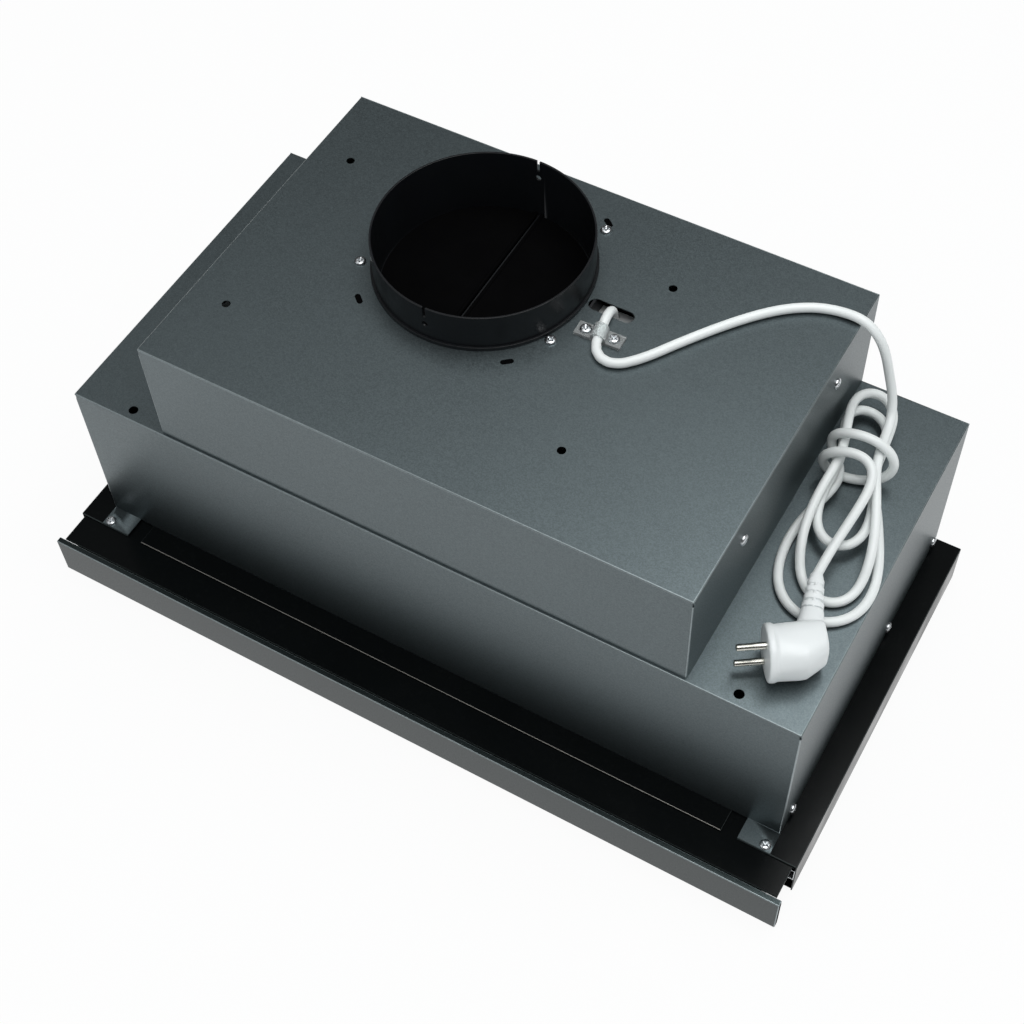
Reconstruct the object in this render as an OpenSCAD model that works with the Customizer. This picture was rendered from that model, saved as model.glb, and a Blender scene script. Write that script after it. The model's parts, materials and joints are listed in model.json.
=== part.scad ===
// Pull-out range hood with its blower, filters, visor and mains lead
// The origin is the middle of the underside, +Y is the back and +Z is up

/* [Housing] */
// Thickness of the folded steel sheet
sheet = 0.8; // [0.6:0.1:1.2]
// Depth of the lower box, from its front to the back
lower_d = 273; // [265:1:285]
// Height of the lower box above the tray
lower_h = 139; // [132:1:160]
// Width of the upper box
upper_w = 403; // [390:1:420]
// How far the upper box sits to the left of the middle
upper_shift = 1.5; // [0:0.5:5]
// Step from the lower box's front to the upper box's front
upper_step = 2; // [1:0.5:8]
// Height of the upper box above the ledge
upper_h = 89; // [84:1:110]
// Width of the flange folded inwards at the foot of each box
flange_w = 12; // [8:1:16]

/* [Tray] */
// Width of the tray
tray_w = 598; // [590:1:620]
// Height of the tray
tray_h = 37; // [37:1:45]
// Width of the strip beside the lower box
tray_side_w = 20; // [17:0.5:27]
// Depth of the strip in front of the lower box
tray_lip_d = 17; // [15:1:22]
// Thickness of the underside plate
plate_t = 1; // [0.8:0.1:1.5]

/* [Visor] */
// Width of the front bar
bar_w = 600; // [592:1:622]
// Depth of the front bar
bar_d = 4.5; // [4:0.5:8]
// Distance from the bar's face to the tray
visor_reach = 30; // [28:1:40]
// Length that the visor slides out
visor_travel = 160; // [100:5:160]
// Thickness of the visor's top panel
panel_t = 1; // [0.8:0.1:1.5]
// Width of the visor's side runners
runner_w = 8.5; // [7:0.5:9]

/* [Duct collar] */
// Outer radius of the collar
collar_r = 75; // [62:0.5:76]
// Wall of the collar
collar_wall = 1.5; // [1:0.1:2]
// Height of the collar above the top
collar_h = 30; // [26:1:60]
// Distance of the collar's axis to the left of the middle
collar_left = 41.5; // [38:0.5:46]
// Distance of the collar's axis from the back
collar_back = 98.8; // [96:0.2:105]

/* [Blower] */
// Radius of the fan wheel
wheel_r = 76; // [68:1:78]
// Length of the fan wheel
wheel_w = 136; // [110:1:138]
// Wall of the blower casing
scroll_wall = 1.5; // [1:0.1:2]
// Radius of the motor
motor_r = 43; // [38:1:46]
// Length of the motor
motor_len = 78; // [74:1:84]
// Radius of the motor shaft
shaft_r = 4; // [3:0.5:5]

/* [Filters and lamps] */
// Width of a rear filter cassette
filter_w = 239; // [220:1:240]
// Depth of a rear filter cassette
filter_d = 237; // [220:1:238]
// Height of a rear filter cassette
filter_h = 8; // [7:0.5:9]
// Length of a lamp lens
lamp_w = 90; // [60:1:120]
// Depth of a lamp lens
lamp_d = 22; // [16:1:24]

/* [Controls] */
// Length of a push button
button_w = 14; // [10:0.5:16]
// Depth of a push button
button_d = 8; // [6:0.5:9]
// Distance between neighbouring buttons
button_pitch = 24; // [20:1:26]
// Travel of a push button
button_travel = 1.5; // [1:0.1:1.5]

/* [Mains lead] */
// Diameter of the mains lead
cord_d = 6.5; // [6.3:0.1:6.6]
// Radius of the plug's face
plug_r = 19; // [17:0.5:19]
// Distance between the plug's pins
pin_pitch = 19; // [18:0.5:20]

/* [Hidden] */
$fn = 64;

// Colours
graphite = [0.42, 0.47, 0.48];
tray_black = [0.07, 0.09, 0.09];
plastic_black = [0.09, 0.1, 0.11];
zinc = [0.72, 0.74, 0.75];
aluminium = [0.8, 0.81, 0.82];
white_plastic = [0.95, 0.96, 0.95];
clear_plastic = [0.85, 0.88, 0.88];
board_green = [0.1, 0.35, 0.2];
copper = [0.72, 0.45, 0.28];

// Clearances: between sliding pieces, of a running shaft or a seated blade, and past a cut
gap = 0.3;
run_gap = 0.05;
cut = 1;

// Main levels and faces
overall_d = lower_d + tray_lip_d + visor_reach;
lower_w = tray_w - 2 * tray_side_w;
back_y = overall_d / 2;
inner_back_y = back_y - sheet;
bar_y = -overall_d / 2;
tray_front_y = bar_y + visor_reach;
lower_front_y = tray_front_y + tray_lip_d;
upper_front_y = lower_front_y + upper_step;
ledge_z = tray_h + lower_h;
top_z = ledge_z + upper_h;
upper_x0 = -upper_w / 2 - upper_shift;
upper_x1 = upper_w / 2 - upper_shift;
tray_in_x = tray_w / 2 - sheet;

// Tray opening under the lower box, tabs and the notches beside them
tray_open_in = 5;
tray_open_x = lower_w / 2 - flange_w - tray_open_in;
tray_open_front_y = lower_front_y + 15;
tray_open_back_y = inner_back_y - flange_w;
plate_back = 1;
tab_w = 24;
notch_w = 12;
tab_screw_in = 5.3;
tab_screw_back = 4.5;

// Holes in the housings
mount_hole_r = 3;
mount_spacing_x = 253;
mount_spacing_y = 151.5;
mount_mid = [-47.5, 25];
ledge_hole_r = 3.5;
ledge_hole_x = lower_w / 2 - 46;
ledge_hole_back = 8.5;
relief_w = 1;
relief_h = 5;

// Screws
screw_r = 1.5;
screw_head_r = 4;
screw_head_h = 2.1;
screw_rim_h = 1.15;
screw_crown_r = 2.4;
screw_cross_len = 4.4;
screw_cross_w = 1;
screw_cross_deep = 1.2;
screw_hole_r = screw_r + 0.2;
screw_len = 3;
side_screw_z = tray_h + 8;
side_screw_y = [back_y - 10, 66, lower_front_y + 17];
upper_screw_z = top_z - 25;
upper_screw_y = [98, -41];

// Collar and damper
collar_x = -collar_left;
collar_y = back_y - collar_back;
collar_in_r = collar_r - collar_wall;
collar_low_r = collar_r - 0.5;
collar_ring_r = collar_r + 1.5;
collar_ring_h = 3;
collar_drop = 40;
rim_z = top_z + collar_h;
collar_low_z = top_z - collar_drop;
rim_slot_w = 2;
rim_slot_h = 8.5;
pivot_hole_r = 2;
pivot_hole_drop = 15;
damper_z = rim_z - 50;
damper_t = 1.2;
damper_pin_r = 1.5;
damper_half_gap = 2.5;
damper_bar_half = 0.8;
damper_seat_w = 2;
flap_r = collar_in_r - 1;

// Blower screws and slots around the collar, from its axis
blower_screw_at = [[-74.5, -38], [71.5, -38], [57, 65], [-57, 65]];
slot_at = [[-57.5, -66.5], [55.5, -66.5], [55, 72], [-57.5, 72]];
slot_len = 9;
slot_w = 4;

// Blower casing
neck_half = collar_r + 0.2;
wheel_x = collar_x;
wheel_y = collar_y - 39.2;
wheel_z = ledge_z - 27;
scroll_near_r = wheel_r + 8;
scroll_far_r = collar_y + neck_half - wheel_y;
scroll_half_w = neck_half;
tongue_angle = acos((collar_y - neck_half - wheel_y) / scroll_near_r);
scroll_steps = 28;
inlet_r = wheel_r - 14;
flange_z = top_z - sheet;
neck_flange_t = 3;
neck_flange_left = 6;
blade_count = 36;
blade_t = 1.2;
blade_slant = 35;
blade_d = 10;
blade_root_r = inlet_r + 2.5;
disc_t = 2;
disc_r = blade_root_r - blade_t * sin(blade_slant) - run_gap;
wheel_ring_t = 2;
wheel_ring_in_r = inlet_r + 1;
hub_r = 12;
hub_half = 8.5;
shaft_out = 4;
shaft_back = 1;

// Motor
motor_x0 = wheel_x + 21.5;
motor_x1 = motor_x0 + motor_len;
bearing_w = 7;
bearing_r = 11;
rotor_r = 23;
rotor_margin = 13;
stator_gap = 0.6;
stator_over = 2;
can_wall = 2;
bracket_t = 3;
bracket_ring_w = 6;
bracket_arm_w = 14;
bracket_arm_at = [90, 210, 330];
bracket_reach = inlet_r + 12;
scroll_right_x = wheel_x + scroll_half_w + scroll_wall;

// Electrical pieces
cable_slot_x0 = 36;
cable_slot_x1 = 69;
cable_slot_y = 64.5;
cable_slot_w = 10;
box_gap = 2;
box_w = 64;
box_h = 38.2;
box_front = 20.5;
box_behind = 29.5;
box_wall = 2;
box_low = [scroll_right_x + box_gap, cable_slot_y - box_front, flange_z - box_h];
box_high = [box_low[0] + box_w, cable_slot_y + box_behind, flange_z];
block_drop = 14.2;
block_h = 12;
block_front = 12;
block_behind = 14;
block_top_z = flange_z - block_drop;
capacitor_r = 15;
capacitor_x = [130, 190];
capacitor_z = 110;
strap_w = 12;
strap_t = 1;
strap_foot = 20;
capacitor_y = inner_back_y - capacitor_r - strap_t / 2;
driver_size = [60, 22, 22];
driver_side = 79;
driver_z = 90;
driver_low = [-lower_w / 2 + driver_side, inner_back_y - driver_size[1], driver_z];

// Rails and runners
rail_t = 1;
rail_low_z = 12;
rail_h = 14;
rail_w = 10.2;
rail_front_gap = 2;
rail_back_gap = 10;
runner_mid_z = rail_low_z + rail_h / 2;
runner_h = 7;
runner_back_y = 110;
shoe_len = 20;
shoe_mid_y = -20;
shoe_over = 6;
magnet_t = 2.6;
magnet_size = [10, 4];
magnet_lift = 1;
reed_len = 18;
reed_h = 5;

// Visor
web_y = bar_y + bar_d;
panel_top_z = tray_h - sheet - 0.8;
panel_low_z = panel_top_z - panel_t;
visor_half_w = tray_in_x - 2.2;
panel_back_y = tray_front_y + visor_travel + 5;
panel_lip_h = 0.5;
panel_groove = 1;
panel_edge_back = 1;
strip_z = 2;
strip_t = 1;
carriage_z = 13;
carriage_t = 1;
riser_y = tray_front_y - 1.5;
carriage_back_y = 10;
carriage_half_w = tray_in_x - 13.2;
visor_open_x = carriage_half_w - 23;
visor_open_y = [riser_y + 9.5, -6];
visor_filter_seat = 4;
visor_filter_x = visor_open_x + visor_filter_seat;
visor_filter_y = [visor_open_y[0] - visor_filter_seat, visor_open_y[1] + visor_filter_seat];
visor_border = 12;
visor_filter_h = 6;
bar_low_z = 0.5;
bar_hem_h = 4;

// Controls
control_y = (web_y + riser_y) / 2;
button_low_z = 0.6;
button_flange_w = 1.2;
button_flange_t = 1;
button_hole_gap = 0.3;
button_stem_r = 2;
button_stem_h = 1.7;
button_flange_z = strip_z + strip_t + gap;
button_top_z = button_flange_z + button_flange_t + button_stem_h;
switch_low_z = button_top_z + button_travel + gap;
switch_h = 2.2;
switch_half = 3;
board_t = 1.6;
control_wall = 1.5;
control_half_w = button_pitch * 2 + button_w / 2 + 9;
control_half_d = 9.5;
control_top_z = switch_low_z + switch_h + board_t + 6;

// Rear filters
filter_gap = 1.5;
filter_mid_gap = 6;
filter_low_z = 0.6;
filter_border = 14;
filter_open_w = filter_w + 2 * filter_gap;
filter_open_d = filter_d + 2 * filter_gap;
filter_mid_x = filter_mid_gap / 2 + filter_open_w / 2;
filter_back_y = inner_back_y - 12.2 - filter_gap;
filter_front_y = filter_back_y - filter_d;
mesh_t = 3;
mesh_lift = 2.4;
mesh_slot_w = 5;
mesh_bar_w = 5;
tongue_w = 20;
tongue_len = 7;
tongue_inset = 50;
tongue_t = 1;
tongue_root = 1;
tongue_low_z = plate_t + gap;
latch_w = 26;
latch_pocket_d = 11;
latch_travel = 5;
latch_bolt = 4;
latch_guide_w = 3;
latch_low_z = plate_t + gap + 0.2;
latch_top_z = latch_low_z + 3.8;
latch_thumb_at = 0.5;
latch_thumb_d = 3;
latch_thumb_lift = 0.1;

// Lamps
lamp_mid_x = 150;
lamp_mid_y = tray_front_y + 18;
lamp_box_h = 10;
lamp_box_wall = 2;
lens_low_z = 0.2;
lens_top_z = plate_t + 1;
led_board_t = 1;
led_board_in = 2;

// Lead: where it lies on the top and over the right edge
cord_r = cord_d / 2;
cord_lift = 0.1;
cord_top = 268.4;
lead_sides = 8;
lead_route = [
    [51.5, 71.5, 252.3], [52, 68.6, 258], [52.6, 65.3, 264], [53.1, 61.9, 267.4], [53.7, 57.5, 269.5],
    [54.3, 53.1, 270], [54.9, 49, 269.2], [55.25, 46.7, 268.6], [55.8, 44, cord_top],
    [56.6, 40.3, cord_top], [58.2, 33, cord_top], [61.5, 27, cord_top],
    [67, 23.2, cord_top], [73.5, 22.6, cord_top], [80, 25.4, cord_top], [88, 33, cord_top],
    [97, 46, cord_top], [106, 60, cord_top], [115, 73, cord_top], [124, 85.5, cord_top],
    [134, 98, cord_top], [145, 110, cord_top], [157, 120, cord_top], [170, 127.5, cord_top],
    [183, 131, cord_top], [194, 131.5, 268.7], [201.5, 131, 268.4], [207.5, 130.4, 265.4],
    [213, 129.8, 260],
    [218.5, 129, 251.5], [222, 128.5, 242], [225, 128, 232], [228.5, 127, 222],
    [232, 124.5, 212.5], [234.6, 120, 205], [235.8, 115, 201]
];

// Saddle clamp
clamp_mid = [56.4, 41.2];
clamp_turn = 2.3;
clamp_half = [16.5, 5.5];
clamp_t = 2.4;
clamp_screw_half = 10.1;
clamp_arch_r = cord_r + 2;
clamp_lead_turn = 10;

// Hank: a shape along the right ledge, each loop with its own length and spread
hank_mid = [231, 72];
hank_tilt = 10.4;
hank_sides = 6;
hank_rings = 12;
layer_step = cord_d + 0.8;
bed_z = ledge_z + cord_r + cord_lift;
waist_half = 12;
waist_lift = 11.4;
waist_lift_at = 9;
waist_lift_w = 26;
wrap_half_w = 23;
wrap_half_h = 18.5;
wrap_start = 15.2;
wrap_pitch = 16;
wrap_from = 135;
wrap_turn = 405;
wrap_mid_z = bed_z + wrap_half_h;
first_drop = [52, 88];
// Each low lobe: reach, spread, lean and layer
low_lobes = [[94.5, 38.7, 4.4, 2], [55.7, 26.7, 0.7, 1], [110, 56.5, 0.8, 0]];
// Each high lobe: reach, spread, lean, the layer it comes down from, and the angles where it does so
high_lobes = [[71.6, 28.2, -1.1, 2, 13, 171], [60.8, 28, -3.4, 1, 15.6, 154.4]];
last_lobe_end = 150;
hank_entry = 30;
hank_entry_run = 18;
hank_probe = 7;
wrap_probe = 0.002;
first_normal = [0.2, 0.3, 1];
gap_skip = 18;
// Way from the last lobe to the wraps and to the plug: a place at the waist, and how far each bend leans
to_wrap_mid = [6, -12, -1];
to_wrap_lean = [1, -0.67, 0.1];
to_wrap_reach = [30.4, 17.7, 16.6, 11.3];
to_plug_reach = 25.4;
to_plug_end = [0, 46.8, 3.3];

// Plug and its strain relief
plug_at = [238, -81.5, ledge_z + plug_r + 0.2];
plug_turn = 214;
plug_rim = 7;
plug_depth = 38;
plug_back_r = 13;
pin_r = 2.4;
pin_len = 19;
boss_r = 7.5;
boss_len = 23.5;
relief_tip = [242, -14, plug_at[2]];
relief_turn = 18;
relief_len = 28;
relief_r0 = 6.4;
relief_r1 = 4.2;
relief_core_in = 1;
relief_ribs = 5;
relief_rib_share = 0.6;

// Box between two corners
module block(low, high) {
    translate(low) cube(high - low);
}

// Flat outline in Y and Z, made thick along X
module along_x(x0, x1) {
    translate([x0, 0, 0]) rotate([90, 0, 90]) linear_extrude(x1 - x0) children();
}

// Cylinder along X
module rod_x(x0, x1, y, z, r) {
    translate([x0, y, z]) rotate([0, 90, 0]) cylinder(h = x1 - x0, r = r);
}

// Cylinder along Y
module rod_y(y0, y1, x, z, r) {
    translate([x, y0, z]) rotate([-90, 0, 0]) cylinder(h = y1 - y0, r = r);
}

// Pan-head screw whose head sits on z = 0
module pan_screw(shank) {
    translate([0, 0, -shank]) cylinder(h = shank, r = screw_r);
    difference() {
        union() {
            cylinder(h = screw_rim_h, r = screw_head_r);
            translate([0, 0, screw_rim_h])
                cylinder(h = screw_head_h - screw_rim_h, r1 = screw_head_r, r2 = screw_crown_r);
        }
        for (turn = [0, 90])
            rotate(turn)
                translate([-screw_cross_len / 2, -screw_cross_w / 2, screw_head_h - screw_cross_deep])
                    cube([screw_cross_len, screw_cross_w, screw_head_h]);
    }
}

// Straight slot through a horizontal sheet
module slot_cut(len, w, h) {
    for (end = [-1, 1]) translate([end * (len - w) / 2, 0, 0]) cylinder(h = h, r = w / 2);
    translate([-(len - w) / 2, -w / 2, 0]) cube([len - w, w, h]);
}

// Housings
module tabs() {
    for (side = [-1, 1]) {
        x_out = side * lower_w / 2;
        x_in = side * (lower_w / 2 - tab_w);
        difference() {
            block([min(x_in, x_out), lower_front_y - tray_lip_d + sheet / 2, tray_h],
                  [max(x_in, x_out), lower_front_y + sheet, tray_h + sheet]);
            translate([side * (lower_w / 2 - tab_screw_in), tray_front_y + tab_screw_back, tray_h - cut])
                cylinder(h = sheet + 2 * cut, r = screw_hole_r);
        }
    }
}

module lower_housing() {
    color(graphite) {
        difference() {
            union() {
                block([-lower_w / 2, lower_front_y, tray_h], [lower_w / 2, lower_front_y + sheet, ledge_z]);
                for (side = [-1, 1]) {
                    x_out = side * lower_w / 2;
                    x_in = side * (lower_w / 2 - sheet);
                    x_flange = side * (lower_w / 2 - flange_w);
                    block([min(x_in, x_out), lower_front_y, tray_h],
                          [max(x_in, x_out), inner_back_y, ledge_z]);
                    block([min(x_flange, x_out), lower_front_y, tray_h],
                          [max(x_flange, x_out), inner_back_y, tray_h + sheet]);
                }
                difference() {
                    block([-lower_w / 2, lower_front_y, ledge_z - sheet],
                          [lower_w / 2, inner_back_y, ledge_z]);
                    block([upper_x0 + flange_w, upper_front_y + flange_w, ledge_z - cut],
                          [upper_x1 - flange_w, inner_back_y - flange_w, ledge_z + cut]);
                }
            }
            for (side = [-1, 1]) {
                translate([side * ledge_hole_x, lower_front_y + ledge_hole_back, ledge_z - 2 * cut])
                    cylinder(h = 4 * cut, r = ledge_hole_r);
                for (y = side_screw_y)
                    rod_x(side * lower_w / 2 - 2 * cut, side * lower_w / 2 + 2 * cut,
                          y, side_screw_z, screw_hole_r);
                x_slit = side * (lower_w / 2 - sheet / 2);
                block([x_slit - sheet, lower_front_y - cut, ledge_z - relief_h],
                      [x_slit + sheet, lower_front_y + relief_w, ledge_z - sheet]);
            }
        }
        tabs();
    }
}

module upper_housing() {
    color(graphite) difference() {
        union() {
            block([upper_x0, upper_front_y, flange_z], [upper_x1, inner_back_y, top_z]);
            block([upper_x0, upper_front_y, ledge_z], [upper_x1, upper_front_y + sheet, top_z]);
            block([upper_x0, upper_front_y, ledge_z],
                  [upper_x1, upper_front_y + flange_w, ledge_z + sheet]);
            block([upper_x0, upper_front_y, ledge_z], [upper_x0 + sheet, inner_back_y, top_z]);
            block([upper_x1 - sheet, upper_front_y, ledge_z], [upper_x1, inner_back_y, top_z]);
            block([upper_x0, upper_front_y, ledge_z], [upper_x0 + flange_w, inner_back_y, ledge_z + sheet]);
            block([upper_x1 - flange_w, upper_front_y, ledge_z], [upper_x1, inner_back_y, ledge_z + sheet]);
        }
        translate([collar_x, collar_y, flange_z - cut]) {
            cylinder(h = sheet + 2 * cut, r = collar_low_r);
            for (at = blower_screw_at) translate(at) cylinder(h = sheet + 2 * cut, r = screw_hole_r);
            for (at = slot_at)
                translate(at) rotate(atan2(at[1], at[0]) + 90) slot_cut(slot_len, slot_w, sheet + 2 * cut);
        }
        translate([(cable_slot_x0 + cable_slot_x1) / 2, cable_slot_y, flange_z - cut])
            slot_cut(cable_slot_x1 - cable_slot_x0, cable_slot_w, sheet + 2 * cut);
        for (sx = [-1, 1], sy = [-1, 1])
            translate([mount_mid[0] + sx * mount_spacing_x / 2, mount_mid[1] + sy * mount_spacing_y / 2,
                       flange_z - cut])
                cylinder(h = sheet + 2 * cut, r = mount_hole_r);
        for (x = [upper_x0, upper_x1], y = upper_screw_y)
            rod_x(x - 2 * cut, x + 2 * cut, y, upper_screw_z, screw_hole_r);
        for (x = [upper_x0, upper_x1])
            block([x - sheet, upper_front_y - cut, top_z - relief_h],
                  [x + sheet, upper_front_y + relief_w, top_z - sheet]);
    }
}

module back_panel() {
    color(graphite) {
        block([-lower_w / 2, inner_back_y, tray_h], [lower_w / 2, back_y, ledge_z]);
        block([upper_x0, inner_back_y, tray_h], [upper_x1, back_y, top_z]);
    }
}

// Tray and underside
module base_tray() {
    color(tray_black) difference() {
        union() {
            block([-tray_w / 2, tray_front_y, tray_h - sheet], [tray_w / 2, back_y, tray_h]);
            for (side = [-1, 1]) {
                x_out = side * tray_w / 2;
                x_in = side * tray_in_x;
                block([min(x_in, x_out), tray_front_y, 0], [max(x_in, x_out), back_y, tray_h]);
            }
            block([-tray_w / 2, inner_back_y, 0], [tray_w / 2, back_y, tray_h]);
        }
        block([-tray_open_x, tray_open_front_y, tray_h - 2 * cut],
              [tray_open_x, tray_open_back_y, tray_h + cut]);
        block([tab_w - lower_w / 2, tray_front_y - cut, tray_h - 2 * cut],
              [lower_w / 2 - tab_w, tray_open_front_y + cut, tray_h + cut]);
        for (side = [-1, 1])
            translate([side * (lower_w / 2 - tab_screw_in), tray_front_y + tab_screw_back, tray_h - 2 * cut])
                cylinder(h = 3 * cut, r = screw_hole_r);
    }
}

// The strip under the lower box's front, between the two notches
module tray_front_strip() {
    half_w = lower_w / 2 - tab_w - notch_w;
    color(tray_black)
        block([-half_w, tray_front_y, tray_h - sheet], [half_w, tray_open_front_y, tray_h]);
}

module base_plate() {
    color(tray_black) difference() {
        block([-tray_in_x, tray_front_y + plate_back, 0], [tray_in_x, inner_back_y, plate_t]);
        for (side = [-1, 1]) {
            mid = side * filter_mid_x;
            block([mid - filter_open_w / 2, filter_front_y - filter_gap, -cut],
                  [mid + filter_open_w / 2, filter_back_y + filter_gap, plate_t + cut]);
            block([side * lamp_mid_x - lamp_w / 2, lamp_mid_y - lamp_d / 2, -cut],
                  [side * lamp_mid_x + lamp_w / 2, lamp_mid_y + lamp_d / 2, plate_t + cut]);
        }
    }
}

// Duct collar and its two flaps
module duct_collar() {
    color(plastic_black) translate([collar_x, collar_y, 0]) {
        difference() {
            union() {
                translate([0, 0, collar_low_z]) cylinder(h = rim_z - collar_low_z, r = collar_low_r);
                translate([0, 0, top_z]) cylinder(h = collar_h, r = collar_r);
                translate([0, 0, top_z]) cylinder(h = collar_ring_h, r = collar_ring_r);
            }
            translate([0, 0, collar_low_z - cut])
                cylinder(h = rim_z - collar_low_z + 2 * cut, r = collar_in_r);
            block([-rim_slot_w / 2, -collar_r - cut, rim_z - rim_slot_h],
                  [rim_slot_w / 2, collar_r + cut, rim_z + cut]);
            rod_y(-collar_r - cut, collar_r + cut, 0, rim_z - pivot_hole_drop, pivot_hole_r);
            for (side = [-1, 1])
                rod_y(-collar_r - cut, collar_r + cut, side * damper_half_gap, damper_z,
                      damper_pin_r + run_gap);
        }
        translate([0, 0, damper_z - damper_t / 2 - gap - damper_seat_w]) difference() {
            cylinder(h = damper_seat_w, r = collar_in_r);
            translate([0, 0, -cut]) difference() {
                cylinder(h = damper_seat_w + 2 * cut, r = collar_in_r - damper_seat_w);
                block([-damper_bar_half, -collar_r, 0], [damper_bar_half, collar_r, damper_seat_w + 2 * cut]);
            }
            for (side = [-1, 1])
                rod_y(-collar_r, collar_r, side * damper_half_gap, damper_t / 2 + gap + damper_seat_w,
                      damper_pin_r + gap);
        }
    }
}

module damper_flap(side) {
    color(plastic_black) translate([collar_x, collar_y, damper_z]) {
        translate([0, 0, -damper_t / 2]) intersection() {
            cylinder(h = damper_t, r = flap_r);
            block([side > 0 ? damper_half_gap : -flap_r, -flap_r, 0],
                  [side > 0 ? flap_r : -damper_half_gap, flap_r, damper_t]);
        }
        rod_y(-collar_low_r + gap, collar_low_r - gap, side * damper_half_gap, 0, damper_pin_r);
    }
}

module damper_flap_left() {
    damper_flap(-1);
}

module damper_flap_right() {
    damper_flap(1);
}

// Blower casing: a spiral that opens into the neck under the collar
function scroll_r(a) = scroll_near_r
    + (scroll_far_r - scroll_near_r) * (a - tongue_angle) / (360 - tongue_angle);

function scroll_outline(extra) = concat(
    [for (i = [0 : scroll_steps])
        let (a = tongue_angle + (360 - tongue_angle) * i / scroll_steps)
        [wheel_y + (scroll_r(a) + extra) * cos(a), wheel_z + (scroll_r(a) + extra) * sin(a)]],
    [[collar_y + neck_half + extra, flange_z], [collar_y - neck_half - extra, flange_z]]
);

module scroll_half(side) {
    mid_x = wheel_x;
    in_x = wheel_x + side * scroll_half_w;
    out_x = wheel_x + side * (scroll_half_w + scroll_wall);
    flange_x = side < 0 ? out_x - neck_flange_left : out_x;
    color(plastic_black) {
        difference() {
            along_x(min(mid_x, out_x), max(mid_x, out_x)) polygon(scroll_outline(scroll_wall));
            along_x(min(mid_x - cut, in_x), max(mid_x + cut, in_x)) polygon(scroll_outline(0));
            rod_x(min(in_x, out_x) - cut, max(in_x, out_x) + cut, wheel_y, wheel_z, inlet_r);
            block([min(mid_x, in_x), collar_y - neck_half, flange_z - neck_flange_t],
                  [max(mid_x, in_x), collar_y + neck_half, flange_z + cut]);
            neck_cuts();
        }
        difference() {
            block([min(mid_x, flange_x), collar_y - neck_half - scroll_wall, flange_z - neck_flange_t],
                  [max(mid_x, flange_x), collar_y + neck_half + scroll_wall, flange_z]);
            neck_cuts();
        }
    }
}

module neck_cuts() {
    translate([collar_x, collar_y, flange_z - neck_flange_t - cut]) {
        cylinder(h = neck_flange_t + 2 * cut, r = collar_low_r);
        for (at = blower_screw_at)
            translate(at) cylinder(h = neck_flange_t + 2 * cut, r = screw_hole_r);
    }
}

module scroll_half_left() {
    scroll_half(-1);
}

module scroll_half_right() {
    scroll_half(1);
}

// Fan wheel, motor and bracket
module impeller() {
    x0 = wheel_x - wheel_w / 2;
    x1 = wheel_x + wheel_w / 2;
    color(plastic_black) {
        difference() {
            union() {
                rod_x(wheel_x - disc_t / 2, wheel_x + disc_t / 2, wheel_y, wheel_z, disc_r);
                rod_x(wheel_x - hub_half, wheel_x + hub_half, wheel_y, wheel_z, hub_r);
            }
            rod_x(wheel_x - hub_half - cut, wheel_x + hub_half + cut, wheel_y, wheel_z, shaft_r);
        }
        for (x = [x0, x1 - wheel_ring_t]) difference() {
            rod_x(x, x + wheel_ring_t, wheel_y, wheel_z, wheel_r);
            rod_x(x - cut, x + wheel_ring_t + cut, wheel_y, wheel_z, wheel_ring_in_r);
        }
        translate([x0 + wheel_ring_t + run_gap, wheel_y, wheel_z])
            for (i = [0 : blade_count - 1])
                rotate([i * 360 / blade_count, 0, 0]) translate([0, blade_root_r, 0])
                    rotate([blade_slant, 0, 0])
                        cube([wheel_w - 2 * (wheel_ring_t + run_gap), blade_d, blade_t]);
    }
}

module motor_shaft() {
    color(zinc) rod_x(wheel_x - hub_half - shaft_out, motor_x1 - shaft_back, wheel_y, wheel_z, shaft_r);
}

module rotor() {
    color(zinc) difference() {
        rod_x(motor_x0 + rotor_margin, motor_x1 - rotor_margin, wheel_y, wheel_z, rotor_r);
        rod_x(motor_x0, motor_x1, wheel_y, wheel_z, shaft_r);
    }
}

module motor_housing() {
    color(zinc) difference() {
        rod_x(motor_x0, motor_x1, wheel_y, wheel_z, motor_r);
        rod_x(motor_x0 + bearing_w, motor_x1 - bearing_w, wheel_y, wheel_z, motor_r - can_wall);
        rod_x(motor_x0 - cut, motor_x1 + cut, wheel_y, wheel_z, bearing_r);
    }
}

module stator() {
    color(copper) difference() {
        rod_x(motor_x0 + rotor_margin - stator_over, motor_x1 - rotor_margin + stator_over,
              wheel_y, wheel_z, motor_r - can_wall);
        rod_x(motor_x0, motor_x1, wheel_y, wheel_z, rotor_r + stator_gap);
    }
}

module bearings() {
    color(zinc) for (x = [motor_x0, motor_x1 - bearing_w]) difference() {
        rod_x(x, x + bearing_w, wheel_y, wheel_z, bearing_r);
        rod_x(x - cut, x + bearing_w + cut, wheel_y, wheel_z, shaft_r + run_gap);
    }
}

module motor_bracket() {
    x0 = scroll_right_x;
    color(zinc) difference() {
        union() {
            rod_x(x0, x0 + bracket_t, wheel_y, wheel_z, motor_r + bracket_ring_w);
            translate([x0, wheel_y, wheel_z]) for (turn = bracket_arm_at)
                rotate([turn, 0, 0]) translate([0, motor_r, -bracket_arm_w / 2])
                    cube([bracket_t, bracket_reach - motor_r, bracket_arm_w]);
        }
        rod_x(x0 - cut, x0 + bracket_t + cut, wheel_y, wheel_z, motor_r);
    }
}

module capacitor() {
    color(white_plastic)
        rod_x(capacitor_x[0], capacitor_x[1], capacitor_y, capacitor_z, capacitor_r);
}

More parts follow.
